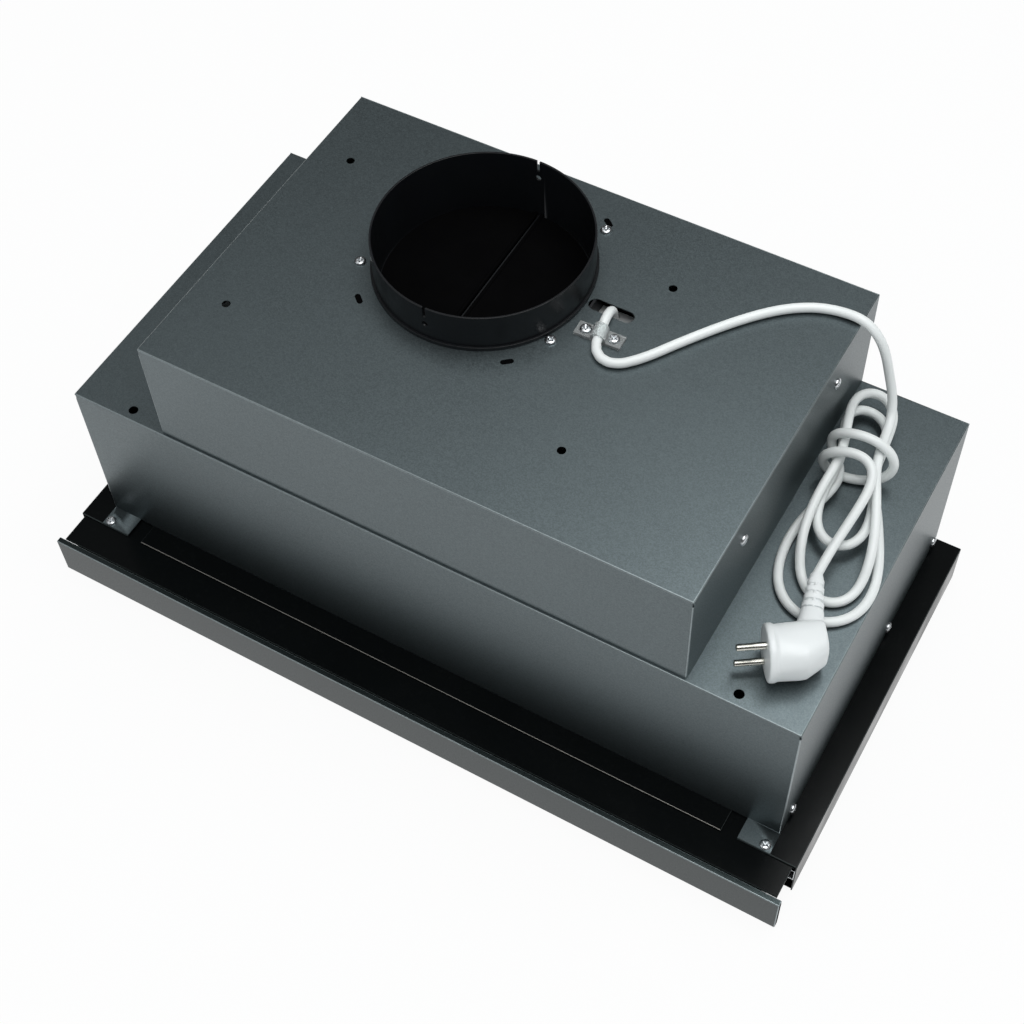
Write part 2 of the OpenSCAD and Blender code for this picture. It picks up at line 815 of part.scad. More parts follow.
module capacitor_strap() {
    mid = (capacitor_x[0] + capacitor_x[1]) / 2;
    x0 = mid - strap_w / 2;
    x1 = mid + strap_w / 2;
    color(zinc) difference() {
        union() {
            intersection() {
                rod_x(x0, x1, capacitor_y, capacitor_z, capacitor_r + strap_t);
                block([x0, capacitor_y - 2 * capacitor_r, 0], [x1, inner_back_y, top_z]);
            }
            block([x0, inner_back_y - strap_t, capacitor_z - strap_foot],
                  [x1, inner_back_y, capacitor_z + strap_foot]);
        }
        rod_x(x0 - cut, x1 + cut, capacitor_y, capacitor_z, capacitor_r);
    }
}

module terminal_box() {
    color(plastic_black) difference() {
        block(box_low, box_high);
        block(box_low + [box_wall, box_wall, box_wall], box_high + [-box_wall, -box_wall, cut]);
    }
}

module terminal_block() {
    color(white_plastic) block(
        [box_low[0] + box_wall, cable_slot_y - block_front, block_top_z - block_h],
        [box_high[0] - box_wall, cable_slot_y + block_behind, block_top_z]);
}

module led_driver() {
    color(white_plastic) translate(driver_low) cube(driver_size);
}

// Slide rails on the tray's walls, and the visor's runners in them
module rail(side) {
    x_wall = side * tray_in_x;
    x_web = side * (tray_in_x - rail_t);
    x_lip = side * (tray_in_x - rail_w);
    y0 = tray_front_y + rail_front_gap;
    y1 = inner_back_y - rail_back_gap;
    color(zinc) {
        block([min(x_wall, x_web), y0, rail_low_z], [max(x_wall, x_web), y1, rail_low_z + rail_h]);
        for (z = [rail_low_z, rail_low_z + rail_h - rail_t])
            block([min(x_wall, x_lip), y0, z], [max(x_wall, x_lip), y1, z + rail_t]);
    }
}

module rail_left() {
    rail(-1);
}

module rail_right() {
    rail(1);
}

module runner(side) {
    x_in = side * carriage_half_w;
    x_out = side * (carriage_half_w + runner_w);
    color(zinc) block([min(x_in, x_out), riser_y, runner_mid_z - runner_h / 2],
                      [max(x_in, x_out), runner_back_y, runner_mid_z + runner_h / 2]);
}

module runner_left() {
    runner(-1);
}

module runner_right() {
    runner(1);
}

module glide_shoes() {
    color(white_plastic) for (side = [-1, 1], y = [runner_back_y - shoe_len, shoe_mid_y]) difference() {
        x_in = side * (carriage_half_w + runner_w - shoe_over);
        x_out = side * (tray_in_x - rail_t - gap);
        x_bar = side * (carriage_half_w + runner_w);
        block([min(x_in, x_out), y, rail_low_z + rail_t + gap],
              [max(x_in, x_out), y + shoe_len, rail_low_z + rail_h - rail_t - gap]);
        block([min(0, x_bar), y - cut, runner_mid_z - runner_h / 2],
              [max(0, x_bar), y + shoe_len + cut, runner_mid_z + runner_h / 2]);
    }
}

module reed_switch() {
    color(white_plastic) block([tray_in_x - rail_w, -reed_len / 2, rail_low_z + rail_h],
                               [tray_in_x, reed_len / 2, rail_low_z + rail_h + reed_h]);
}

module visor_magnet() {
    z0 = rail_low_z + rail_h + magnet_lift;
    color(plastic_black) block([carriage_half_w, -magnet_size[0] / 2, z0],
                               [carriage_half_w + magnet_t, magnet_size[0] / 2, z0 + magnet_size[1]]);
}

// Visor
module visor_panel() {
    color(tray_black) {
        block([-visor_half_w, web_y + panel_groove, panel_low_z],
              [visor_half_w, panel_back_y, panel_top_z]);
        block([-visor_half_w, web_y + panel_groove, panel_top_z],
              [visor_half_w, web_y + panel_groove + sheet, panel_top_z + panel_lip_h]);
        for (side = [-1, 1]) {
            x_out = side * visor_half_w;
            x_in = side * (visor_half_w - sheet);
            block([min(x_in, x_out), web_y + panel_groove, panel_top_z],
                  [max(x_in, x_out), tray_front_y - panel_edge_back, panel_top_z + panel_lip_h]);
        }
    }
}

module visor_frame() {
    color(tray_black) difference() {
        union() {
            block([-visor_half_w, web_y, strip_z], [visor_half_w, web_y + sheet, panel_low_z]);
            block([-carriage_half_w, web_y, strip_z], [carriage_half_w, riser_y, strip_z + strip_t]);
            block([-carriage_half_w, riser_y - sheet, strip_z],
                  [carriage_half_w, riser_y, carriage_z + carriage_t]);
            block([-carriage_half_w, riser_y - sheet, carriage_z],
                  [carriage_half_w, carriage_back_y, carriage_z + carriage_t]);
            for (side = [-1, 1]) {
                x_out = side * carriage_half_w;
                x_in = side * (carriage_half_w - sheet);
                block([min(x_in, x_out), web_y, carriage_z], [max(x_in, x_out), panel_back_y, panel_low_z]);
                block([min(x_in, x_out), web_y, strip_z], [max(x_in, x_out), riser_y, panel_low_z]);
            }
        }
        block([-visor_open_x, visor_open_y[0], carriage_z - cut],
              [visor_open_x, visor_open_y[1], carriage_z + carriage_t + cut]);
        for (i = [-2 : 2])
            block([i * button_pitch - button_w / 2 - button_hole_gap,
                   control_y - button_d / 2 - button_hole_gap, strip_z - cut],
                  [i * button_pitch + button_w / 2 + button_hole_gap,
                   control_y + button_d / 2 + button_hole_gap, strip_z + strip_t + cut]);
    }
}

module front_bar() {
    color(graphite) {
        block([-bar_w / 2, bar_y, bar_low_z], [bar_w / 2, bar_y + sheet, tray_h]);
        block([-bar_w / 2, bar_y, tray_h - sheet], [bar_w / 2, web_y, tray_h]);
        block([-bar_w / 2, bar_y, bar_low_z], [bar_w / 2, web_y, bar_low_z + sheet]);
        block([-bar_w / 2, web_y - sheet, tray_h - bar_hem_h], [bar_w / 2, web_y, tray_h]);
        block([-bar_w / 2, web_y - sheet, bar_low_z], [bar_w / 2, web_y, bar_low_z + bar_hem_h]);
    }
}

module cassette(half_w, y0, y1, z0, h, border) {
    difference() {
        block([-half_w, y0, z0], [half_w, y1, z0 + h]);
        block([-half_w + border, y0 + border, z0 - cut], [half_w - border, y1 - border, z0 + h + cut]);
    }
}

module slotted_mesh(half_w, y0, y1, z0) {
    pitch = mesh_slot_w + mesh_bar_w;
    slots = floor((2 * half_w - mesh_bar_w) / pitch);
    edge = half_w - (slots * pitch - mesh_bar_w) / 2;
    difference() {
        block([-half_w, y0, z0], [half_w, y1, z0 + mesh_t]);
        for (i = [0 : slots - 1])
            block([-half_w + edge + i * pitch, y0 + mesh_bar_w, z0 - cut],
                  [-half_w + edge + i * pitch + mesh_slot_w, y1 - mesh_bar_w, z0 + mesh_t + cut]);
    }
}

module visor_filter_frame() {
    color(aluminium) cassette(visor_filter_x, visor_filter_y[0], visor_filter_y[1],
                              carriage_z + carriage_t, visor_filter_h, visor_border);
}

module visor_filter_mesh() {
    color(aluminium) slotted_mesh(visor_filter_x - visor_border, visor_filter_y[0] + visor_border,
                                  visor_filter_y[1] - visor_border, carriage_z + carriage_t + mesh_t / 2);
}

// Controls under the visor's front strip
module control_housing() {
    color(plastic_black) difference() {
        block([-control_half_w, control_y - control_half_d, strip_z + strip_t],
              [control_half_w, control_y + control_half_d, control_top_z]);
        block([-control_half_w + control_wall, control_y - control_half_d + control_wall, strip_z],
              [control_half_w - control_wall, control_y + control_half_d - control_wall,
               control_top_z - control_wall]);
    }
}

module control_board() {
    color(board_green) {
        block([-control_half_w + control_wall, control_y - control_half_d + control_wall,
               switch_low_z + switch_h],
              [control_half_w - control_wall, control_y + control_half_d - control_wall,
               switch_low_z + switch_h + board_t]);
        for (i = [-2 : 2])
            block([i * button_pitch - switch_half, control_y - switch_half, switch_low_z],
                  [i * button_pitch + switch_half, control_y + switch_half, switch_low_z + switch_h]);
    }
}

module push_button(place) {
    color(plastic_black) translate([place * button_pitch, control_y, 0]) {
        block([-button_w / 2, -button_d / 2, button_low_z], [button_w / 2, button_d / 2, button_flange_z]);
        block([-button_w / 2 - button_flange_w, -button_d / 2 - button_flange_w, button_flange_z],
              [button_w / 2 + button_flange_w, button_d / 2 + button_flange_w,
               button_flange_z + button_flange_t]);
        translate([0, 0, button_flange_z + button_flange_t]) cylinder(h = button_stem_h, r = button_stem_r);
    }
}

module button_off() {
    push_button(-2);
}

module button_low() {
    push_button(-1);
}

module button_medium() {
    push_button(0);
}

module button_high() {
    push_button(1);
}

module button_light() {
    push_button(2);
}

// Rear grease filters: each hangs on two tongues behind and is held by a latch in front
module filter_frame(side) {
    color(aluminium) translate([side * filter_mid_x, 0, 0]) difference() {
        union() {
            cassette(filter_w / 2, filter_front_y, filter_back_y, filter_low_z, filter_h, filter_border);
            for (x = [-filter_w / 2 + tongue_inset, filter_w / 2 - tongue_inset])
                block([x - tongue_w / 2, filter_back_y - tongue_root, tongue_low_z],
                      [x + tongue_w / 2, filter_back_y + tongue_len, tongue_low_z + tongue_t]);
        }
        block([-latch_w / 2, filter_front_y - cut, latch_low_z - gap],
              [latch_w / 2, filter_front_y + latch_pocket_d, latch_top_z + gap]);
        block([-latch_w / 2 + latch_guide_w, filter_front_y - cut, 0],
              [latch_w / 2 - latch_guide_w, filter_front_y + latch_pocket_d, latch_low_z]);
    }
}

module filter_mesh(side) {
    color(aluminium) translate([side * filter_mid_x, 0, 0])
        slotted_mesh(filter_w / 2 - filter_border, filter_front_y + filter_border,
                     filter_back_y - filter_border, filter_low_z + mesh_lift);
}

module filter_latch(side) {
    color(plastic_black) translate([side * filter_mid_x, 0, 0]) {
        block([-latch_w / 2 + gap, filter_front_y - latch_bolt, latch_low_z],
              [latch_w / 2 - gap, filter_front_y + latch_pocket_d - latch_travel - gap, latch_top_z]);
        block([-latch_w / 2 + latch_guide_w + gap, filter_front_y + latch_thumb_at,
               filter_low_z + latch_thumb_lift],
              [latch_w / 2 - latch_guide_w - gap, filter_front_y + latch_thumb_at + latch_thumb_d,
               latch_low_z]);
    }
}

module filter_left_frame() {
    filter_frame(-1);
}

module filter_left_mesh() {
    filter_mesh(-1);
}

module filter_left_latch() {
    filter_latch(-1);
}

module filter_right_frame() {
    filter_frame(1);
}

module filter_right_mesh() {
    filter_mesh(1);
}

module filter_right_latch() {
    filter_latch(1);
}

// Lamps in the underside plate
module lamp_housings() {
    half_w = lamp_w / 2 + lamp_box_wall;
    half_d = lamp_d / 2 + lamp_box_wall;
    color(white_plastic) for (side = [-1, 1]) translate([side * lamp_mid_x, lamp_mid_y, 0]) difference() {
        block([-half_w, -half_d, plate_t], [half_w, half_d, plate_t + lamp_box_h]);
        block([-lamp_w / 2, -lamp_d / 2, 0], [lamp_w / 2, lamp_d / 2, plate_t + lamp_box_h - lamp_box_wall]);
    }
}

module led_boards() {
    z1 = plate_t + lamp_box_h - lamp_box_wall;
    color(white_plastic) for (side = [-1, 1]) translate([side * lamp_mid_x, lamp_mid_y, 0])
        block([-lamp_w / 2 + led_board_in, -lamp_d / 2 + led_board_in, z1 - led_board_t],
              [lamp_w / 2 - led_board_in, lamp_d / 2 - led_board_in, z1]);
}

module lamp_lenses() {
    color(clear_plastic) for (side = [-1, 1]) translate([side * lamp_mid_x, lamp_mid_y, 0])
        block([-lamp_w / 2, -lamp_d / 2, lens_low_z], [lamp_w / 2, lamp_d / 2, lens_top_z]);
}

// Saddle clamp over the lead
module cable_clamp() {
    color(clear_plastic) translate([clamp_mid[0], clamp_mid[1], top_z]) rotate(clamp_turn) difference() {
        union() {
            block([-clamp_half[0], -clamp_half[1], 0], [clamp_half[0], clamp_half[1], clamp_t]);
            intersection() {
                rotate(clamp_lead_turn) rod_y(-clamp_half[0], clamp_half[0], 0, cord_r, clamp_arch_r);
                block([-clamp_half[0], -clamp_half[1], 0], [clamp_half[0], clamp_half[1], 2 * clamp_arch_r]);
            }
        }
        rotate(clamp_lead_turn)
            rod_y(-clamp_half[0] - cut, clamp_half[0] + cut, 0, cord_r + cord_lift, cord_r + gap);
        for (side = [-1, 1]) translate([side * clamp_screw_half, 0, -cut])
            cylinder(h = clamp_t + 2 * cut, r = screw_hole_r);
    }
}

// Screws
module top_screws() {
    color(zinc) {
        translate([collar_x, collar_y, top_z])
            for (at = blower_screw_at) translate(at) pan_screw(screw_len);
        translate([clamp_mid[0], clamp_mid[1], top_z + clamp_t]) rotate(clamp_turn)
            for (side = [-1, 1]) translate([side * clamp_screw_half, 0, 0]) pan_screw(clamp_t);
    }
}

module tab_screws() {
    color(zinc) for (side = [-1, 1])
        translate([side * (lower_w / 2 - tab_screw_in), tray_front_y + tab_screw_back, tray_h + sheet])
            pan_screw(2 * sheet);
}

module housing_screws() {
    color(zinc) {
        for (side = [-1, 1], y = side_screw_y)
            translate([side * lower_w / 2, y, side_screw_z]) rotate([0, side * 90, 0]) pan_screw(screw_len);
        for (y = upper_screw_y) {
            translate([upper_x1, y, upper_screw_z]) rotate([0, 90, 0]) pan_screw(screw_len);
            translate([upper_x0, y, upper_screw_z]) rotate([0, -90, 0]) pan_screw(screw_len);
        }
    }
}

// Sweep of a round tube along points, with rings that turn as little as they can
function unit(v) = v / norm(v);

function heading(path, i) = unit(path[min(i + 1, len(path) - 1)] - path[max(i - 1, 0)]);

function carry(n, t) = unit(n - (n * t) * t);

function ring_normals(path) = [
    for (i = 0, n = carry(first_normal, heading(path, 0)); i < len(path);
         n = carry(n, heading(path, min(i + 1, len(path) - 1))), i = i + 1) n
];

module tube(path, r, sides) {
    normals = ring_normals(path);
    rings = len(path);
    points = [
        for (i = [0 : rings - 1], k = [0 : sides - 1])
            let (side = cross(heading(path, i), normals[i]), a = 360 * k / sides)
            path[i] + r * (cos(a) * normals[i] + sin(a) * side)
    ];
    walls = [
        for (i = [0 : rings - 2], k = [0 : sides - 1], half = [0, 1])
            let (a = i * sides + k, b = i * sides + (k + 1) % sides)
            half == 0 ? [a, a + sides, b] : [b, a + sides, b + sides]
    ];
    first_end = [for (k = [1 : sides - 2]) [0, k, k + 1]];
    last = (rings - 1) * sides;
    last_end = [for (k = [1 : sides - 2]) [last, last + k + 1, last + k]];
    polyhedron(points = points, faces = concat(walls, first_end, last_end));
}

// Places in the hank: s runs along it, v across it
function hank_place(s, v, z) = [
    hank_mid[0] - s * sin(hank_tilt) + v * cos(hank_tilt),
    hank_mid[1] + s * cos(hank_tilt) + v * sin(hank_tilt),
    z
];

function smooth(t) = let (u = min(1, max(0, t))) u * u * (3 - 2 * u);

function lift(s) = waist_lift * exp(-pow((s - waist_lift_at) / waist_lift_w, 2) / 2);

function layer_z(s, layer) = bed_z + layer * layer_step + lift(s);

function low_point(lobe, a) =
    let (s = -lobe[0] * sin(a), spread = waist_half + (lobe[1] - waist_half) * sin(a),
         drop = lobe[3] == 2 ? smooth((-s - first_drop[0]) / (first_drop[1] - first_drop[0])) : 0)
    hank_place(s, cos(a) * spread + lobe[2] * pow(sin(a), 2), layer_z(s, lobe[3] * (1 - drop)));

function high_point(lobe, a) =
    let (s = lobe[0] * sin(a), spread = waist_half + (lobe[1] - waist_half) * pow(sin(a), 2),
         drop = smooth((a - lobe[4]) / (lobe[5] - lobe[4])))
    hank_place(s, -cos(a) * spread + lobe[2] * pow(sin(a), 2), layer_z(s, lobe[3] - drop));

function wrap_point(t) =
    let (a = wrap_from - t * wrap_turn)
    hank_place(wrap_start - wrap_pitch * wrap_turn / 360 * t, wrap_half_w * cos(a),
               wrap_mid_z + wrap_half_h * sin(a));

function bezier(p, t) = pow(1 - t, 3) * p[0] + 3 * pow(1 - t, 2) * t * p[1]
    + 3 * (1 - t) * t * t * p[2] + pow(t, 3) * p[3];

// Straight first stretch of the hank, and the two bends that join it to the wraps and the plug
entry_point = hank_place(hank_entry, waist_half, layer_z(hank_entry, 2));
entry_next = hank_place(hank_entry - hank_probe, waist_half, layer_z(hank_entry - hank_probe, 2));
entry_dir = unit(entry_next - entry_point);
wrap_first = wrap_point(0);
wrap_first_dir = unit(wrap_point(wrap_probe) - wrap_first);
wrap_last = wrap_point(1);
wrap_last_dir = unit(wrap_last - wrap_point(1 - wrap_probe));
lobe_last = low_point(low_lobes[2], last_lobe_end);
lobe_last_dir = unit(lobe_last - low_point(low_lobes[2], last_lobe_end - 1));
cord_end = relief_tip + [0, cord_r * sin(relief_turn), 0];
waist_point = hank_place(to_wrap_mid[0], to_wrap_mid[1], layer_z(to_wrap_mid[0], 0) + to_wrap_mid[2]);
waist_dir = unit(hank_place(to_wrap_lean[0], to_wrap_lean[1], to_wrap_lean[2]) - hank_place(0, 0, 0));
to_waist = [lobe_last, lobe_last + to_wrap_reach[0] * lobe_last_dir,
            waist_point - to_wrap_reach[1] * waist_dir, waist_point];
to_wrap = [waist_point, waist_point + to_wrap_reach[2] * waist_dir,
           wrap_first - to_wrap_reach[3] * wrap_first_dir, wrap_first];
to_plug = [wrap_last, wrap_last + to_plug_reach * wrap_last_dir, relief_tip + to_plug_end,
           relief_tip + [0, cord_d, 0]];

function hank_path(n) = concat(
    [entry_point, entry_point + cord_d * entry_dir],
    [for (s = [hank_entry_run : -hank_entry_run / n : 1]) hank_place(s, waist_half, layer_z(s, 2))],
    [for (i = [0 : n - 1]) low_point(low_lobes[0], 180 * i / n)],
    [for (i = [0 : n - 1]) high_point(high_lobes[0], 180 * i / n)],
    [for (i = [0 : n - 1]) low_point(low_lobes[1], 180 * i / n)],
    [for (i = [0 : n - 1]) high_point(high_lobes[1], 180 * i / n)],
    [for (i = [0 : n - 1]) low_point(low_lobes[2], last_lobe_end * i / n)],
    [for (i = [0 : n / 2 - 1]) bezier(to_waist, i / (n / 2))],
    [for (i = [0 : n - 1]) bezier(to_wrap, i / n)],
    [for (i = [0 : 2 * n - 1]) wrap_point(i / (2 * n))],
    [for (i = [0 : n]) bezier(to_plug, i / n)],
    [cord_end]
);

// Least distance between stretches of one path that are apart along it, less the diameter
function self_gap(path, skip) = min([
    for (i = [0 : len(path) - skip - 1], j = [i + skip : len(path) - 1]) norm(path[i] - path[j])
]) - cord_d;

module cord_lead() {
    color(white_plastic)
        tube(concat(lead_route, [entry_point - cord_d * entry_dir, entry_point]), cord_r, lead_sides);
}

module cord_hank() {
    echo(least_gap_of_the_hank = self_gap(hank_path(4 * hank_rings), gap_skip));
    color(white_plastic) tube(hank_path(hank_rings), cord_r, hank_sides);
}

module strain_relief() {
    pitch = relief_len / (relief_ribs + 1);
    color(white_plastic) translate(relief_tip) rotate(relief_turn) rotate([-90, 0, 0])
        translate([0, 0, -relief_len]) {
            cylinder(h = relief_len, r1 = relief_r0 - relief_core_in, r2 = relief_r1);
            for (i = [0 : relief_ribs - 1])
                translate([0, 0, i * pitch])
                    cylinder(h = pitch * relief_rib_share,
                             r = relief_r0 - (relief_r0 - relief_r1) * i / relief_ribs);
        }
}

module plug_body() {
    color(white_plastic) {
        translate(plug_at) rotate([0, 0, plug_turn]) rotate([0, -90, 0]) {
            cylinder(h = plug_rim, r = plug_r);
            translate([0, 0, plug_rim]) cylinder(h = plug_depth - plug_rim, r1 = plug_r, r2 = plug_back_r);
        }
        translate(relief_tip) rotate(relief_turn)
            rod_y(-relief_len - boss_len, -relief_len, 0, 0, boss_r);
    }
}

module plug_pins() {
    color(zinc) translate(plug_at) rotate([0, 0, plug_turn])
        for (side = [-1, 1]) translate([0, 0, side * pin_pitch / 2]) rotate([0, 90, 0]) {
            cylinder(h = pin_len - pin_r / 2, r = pin_r);
            translate([0, 0, pin_len - pin_r / 2]) cylinder(h = pin_r / 2, r1 = pin_r, r2 = pin_r / 2);
        }
}

upper_housing();
lower_housing();
back_panel();
base_tray();
tray_front_strip();
base_plate();
duct_collar();
damper_flap_left();
damper_flap_right();
scroll_half_left();
scroll_half_right();
impeller();
motor_shaft();
rotor();
motor_housing();
stator();
bearings();
motor_bracket();
capacitor();
capacitor_strap();
terminal_box();
terminal_block();
led_driver();
rail_left();
rail_right();
reed_switch();
lamp_housings();
led_boards();
lamp_lenses();
filter_left_frame();
filter_left_mesh();
filter_left_latch();
filter_right_frame();
filter_right_mesh();
filter_right_latch();
visor_panel();
visor_frame();
front_bar();
runner_left();
runner_right();
glide_shoes();
visor_filter_frame();
visor_filter_mesh();
visor_magnet();
control_housing();
control_board();
button_off();
button_low();
button_medium();
button_high();
button_light();
cable_clamp();
top_screws();
tab_screws();
housing_screws();
cord_lead();
cord_hank();
strain_relief();
plug_body();
plug_pins();
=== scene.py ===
import json
from math import cos, exp, pi, radians, sin

import bmesh
import bpy
import numpy as np
from mathutils import Matrix, Vector

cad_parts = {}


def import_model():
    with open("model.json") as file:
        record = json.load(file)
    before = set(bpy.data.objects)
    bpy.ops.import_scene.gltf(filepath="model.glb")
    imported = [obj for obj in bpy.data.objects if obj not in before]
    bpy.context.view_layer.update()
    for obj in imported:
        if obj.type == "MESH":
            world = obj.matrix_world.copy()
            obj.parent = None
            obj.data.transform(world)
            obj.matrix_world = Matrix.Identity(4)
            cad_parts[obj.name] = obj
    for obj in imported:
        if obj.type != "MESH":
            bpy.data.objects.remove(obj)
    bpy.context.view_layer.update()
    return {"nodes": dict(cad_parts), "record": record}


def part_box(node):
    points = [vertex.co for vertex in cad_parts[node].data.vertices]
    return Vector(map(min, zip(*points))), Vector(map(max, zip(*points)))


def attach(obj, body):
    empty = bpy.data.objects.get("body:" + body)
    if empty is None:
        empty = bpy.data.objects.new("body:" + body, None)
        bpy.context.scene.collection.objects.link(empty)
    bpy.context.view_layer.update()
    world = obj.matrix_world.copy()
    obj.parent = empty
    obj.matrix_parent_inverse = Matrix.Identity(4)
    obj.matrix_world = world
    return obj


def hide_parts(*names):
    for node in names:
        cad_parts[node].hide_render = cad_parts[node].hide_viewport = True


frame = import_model()
nodes = frame["nodes"]
node_body = {}
for body_name, members in frame["record"]["behaviour"]["bodies"].items():
    for member in members:
        node_body[member] = body_name
MM = 0.001

# Camera: fitted to the corners of the hood in the photograph
CAMERA_AT = (0.4020, -0.6196, 1.1368)
CAMERA_X = (0.86659, 0.49806, -0.03106)
CAMERA_Y = (-0.39326, 0.71991, 0.57190)
CAMERA_Z = (0.30720, -0.48338, 0.81974)
cam_data = bpy.data.cameras.new("camera")
cam_data.sensor_width = 36
cam_data.lens = 62.11
cam_data.clip_start = 0.05
cam_data.clip_end = 50
camera = bpy.data.objects.new("camera", cam_data)
turn = Matrix((CAMERA_X, CAMERA_Y, CAMERA_Z)).transposed()
camera.matrix_world = Matrix.Translation(CAMERA_AT) @ turn.to_4x4()
bpy.context.scene.collection.objects.link(camera)
bpy.context.scene.camera = camera
bpy.context.scene.view_settings.view_transform = "Standard"


# Small helpers
def link_object(name, data):
    obj = bpy.data.objects.new(name, data)
    bpy.context.scene.collection.objects.link(obj)
    return obj


def add_object(name, data, body="hood"):
    obj = link_object(name, data)
    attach(obj, body)
    return obj


def dress(obj, material, slot, *replaced):
    """Gives a piece its material, and hides the CAD nodes that it stands for; the slot is not used.
    """
    obj.data.materials.append(material)
    if replaced:
        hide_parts(*replaced)


def shade_smooth(mesh):
    for face in mesh.polygons:
        face.use_smooth = True


def mesh_from(name, bm, smooth_angle=35):
    bmesh.ops.recalc_face_normals(bm, faces=bm.faces)
    mesh = bpy.data.meshes.new(name)
    bm.to_mesh(mesh)
    bm.free()
    shade_smooth(mesh)
    mesh.set_sharp_from_angle(angle=radians(smooth_angle))
    return mesh


def weigh_normals(obj):
    modifier = obj.modifiers.new("even_normals", "WEIGHTED_NORMAL")
    modifier.keep_sharp = True
    modifier.weight = 80


# Materials
class Nodes:
    """One node material, built step by step around a Principled shader."""

    def __init__(self, name, color, rough, metal=0.0, coat=0.0, coat_rough=0.1):
        self.mat = bpy.data.materials.new(name)
        self.mat.use_nodes = True
        self.tree = self.mat.node_tree
        self.shader = self.tree.nodes["Principled BSDF"]
        self.shader.inputs["Base Color"].default_value = (*color, 1)
        self.shader.inputs["Roughness"].default_value = rough
        self.shader.inputs["Metallic"].default_value = metal
        self.shader.inputs["Coat Weight"].default_value = coat
        self.shader.inputs["Coat Roughness"].default_value = coat_rough
        coords = self.tree.nodes.new("ShaderNodeTexCoord")
        self.coords = coords.outputs["Object"]
        self.height = None

    def link(self, a, b):
        self.tree.links.new(a, b)

    def noise(self, scale, detail=2.0, stretch=None, roughness=0.5):
        source = self.coords
        if stretch:
            mapping = self.tree.nodes.new("ShaderNodeMapping")
            mapping.inputs["Scale"].default_value = stretch
            self.link(self.coords, mapping.inputs["Vector"])
            source = mapping.outputs["Vector"]
        node = self.tree.nodes.new("ShaderNodeTexNoise")
        node.inputs["Scale"].default_value = scale
        node.inputs["Detail"].default_value = detail
        node.inputs["Roughness"].default_value = roughness
        self.link(source, node.inputs["Vector"])
        return node.outputs["Fac"]

    def cells(self, scale):
        node = self.tree.nodes.new("ShaderNodeTexVoronoi")
        node.inputs["Scale"].default_value = scale
        self.link(self.coords, node.inputs["Vector"])
        split = self.tree.nodes.new("ShaderNodeSeparateColor")
        self.link(node.outputs["Color"], split.inputs["Color"])
        return split.outputs["Red"]

    def ramp(self, fac, low, high, a, b):
        node = self.tree.nodes.new("ShaderNodeMapRange")
        node.inputs["From Min"].default_value = low
        node.inputs["From Max"].default_value = high
        node.inputs["To Min"].default_value = a
        node.inputs["To Max"].default_value = b
        self.link(fac, node.inputs["Value"])
        return node.outputs["Result"]

    def mix(self, fac, a, b, blend="MIX"):
        node = self.tree.nodes.new("ShaderNodeMix")
        node.data_type = "RGBA"
        node.blend_type = blend
        for value, socket in ((fac, node.inputs[0]), (a, node.inputs[6]), (b, node.inputs[7])):
            if isinstance(value, bpy.types.NodeSocket):
                self.link(value, socket)
            elif socket == node.inputs[0]:
                socket.default_value = value
            else:
                socket.default_value = (*value, 1)
        return node.outputs[2]

    def color(self, socket):
        self.link(socket, self.shader.inputs["Base Color"])

    def rough(self, socket):
        self.link(socket, self.shader.inputs["Roughness"])

    def bump(self, socket, depth, strength=1.0):
        node = self.tree.nodes.new("ShaderNodeBump")
        node.inputs["Distance"].default_value = depth
        node.inputs["Strength"].default_value = strength
        self.link(socket, node.inputs["Height"])
        if self.height is not None:
            self.link(self.height, node.inputs["Normal"])
        self.height = node.outputs["Normal"]
        self.link(self.height, self.shader.inputs["Normal"])


def scaled(color, factor):
    return tuple(c * factor for c in color)


def metallic_paint(name, color, lift, rough):
    m = Nodes(name, color, rough, metal=0.9, coat=0.06, coat_rough=0.25)
    flakes = m.cells(1500)
    grain = m.noise(900, 3)
    broad = m.noise(5, 3)
    flecks = m.ramp(flakes, 0, 1, 0, 1)
    speckled = m.mix(flecks, scaled(color, 1 - lift), scaled(color, 1 + lift))
    clouds = m.ramp(broad, 0.35, 0.65, 0, 0.22)
    m.color(m.mix(clouds, speckled, scaled(color, 1.25)))
    m.rough(m.ramp(grain, 0.3, 0.7, rough - 0.05, rough + 0.06))
    m.bump(grain, 0.00004, 0.5)
    m.bump(m.noise(28, 2), 0.00018, 0.25)
    return m.mat


def gloss_paint(name, color, rough):
    m = Nodes(name, color, rough)
    m.shader.inputs["Specular IOR Level"].default_value = 0.07
    dust = m.noise(260, 4, roughness=0.65)
    dusty = tuple(c * 1.8 + 0.004 for c in color)
    m.color(m.mix(m.ramp(dust, 0.55, 0.8, 0, 0.35), color, dusty))
    m.rough(m.ramp(m.noise(24, 3), 0.3, 0.7, rough - 0.05, rough + 0.08))
    m.bump(m.noise(420, 2), 0.00004, 0.5)
    return m.mat


def moulded(name, color, rough, grain=700, depth=0.00004, vary=0.15, shine=0.5):
    m = Nodes(name, color, rough)
    m.shader.inputs["Specular IOR Level"].default_value = shine
    patch = m.noise(22, 3)
    light = tuple(min(1, c * (1 + vary * 0.6)) for c in color)
    m.color(m.mix(m.ramp(patch, 0.3, 0.7, 0, 1), scaled(color, 1 - vary), light))
    m.rough(m.ramp(m.noise(60, 2), 0.3, 0.7, rough - 0.06, rough + 0.08))
    m.bump(m.noise(grain, 2), depth, 0.6)
    return m.mat


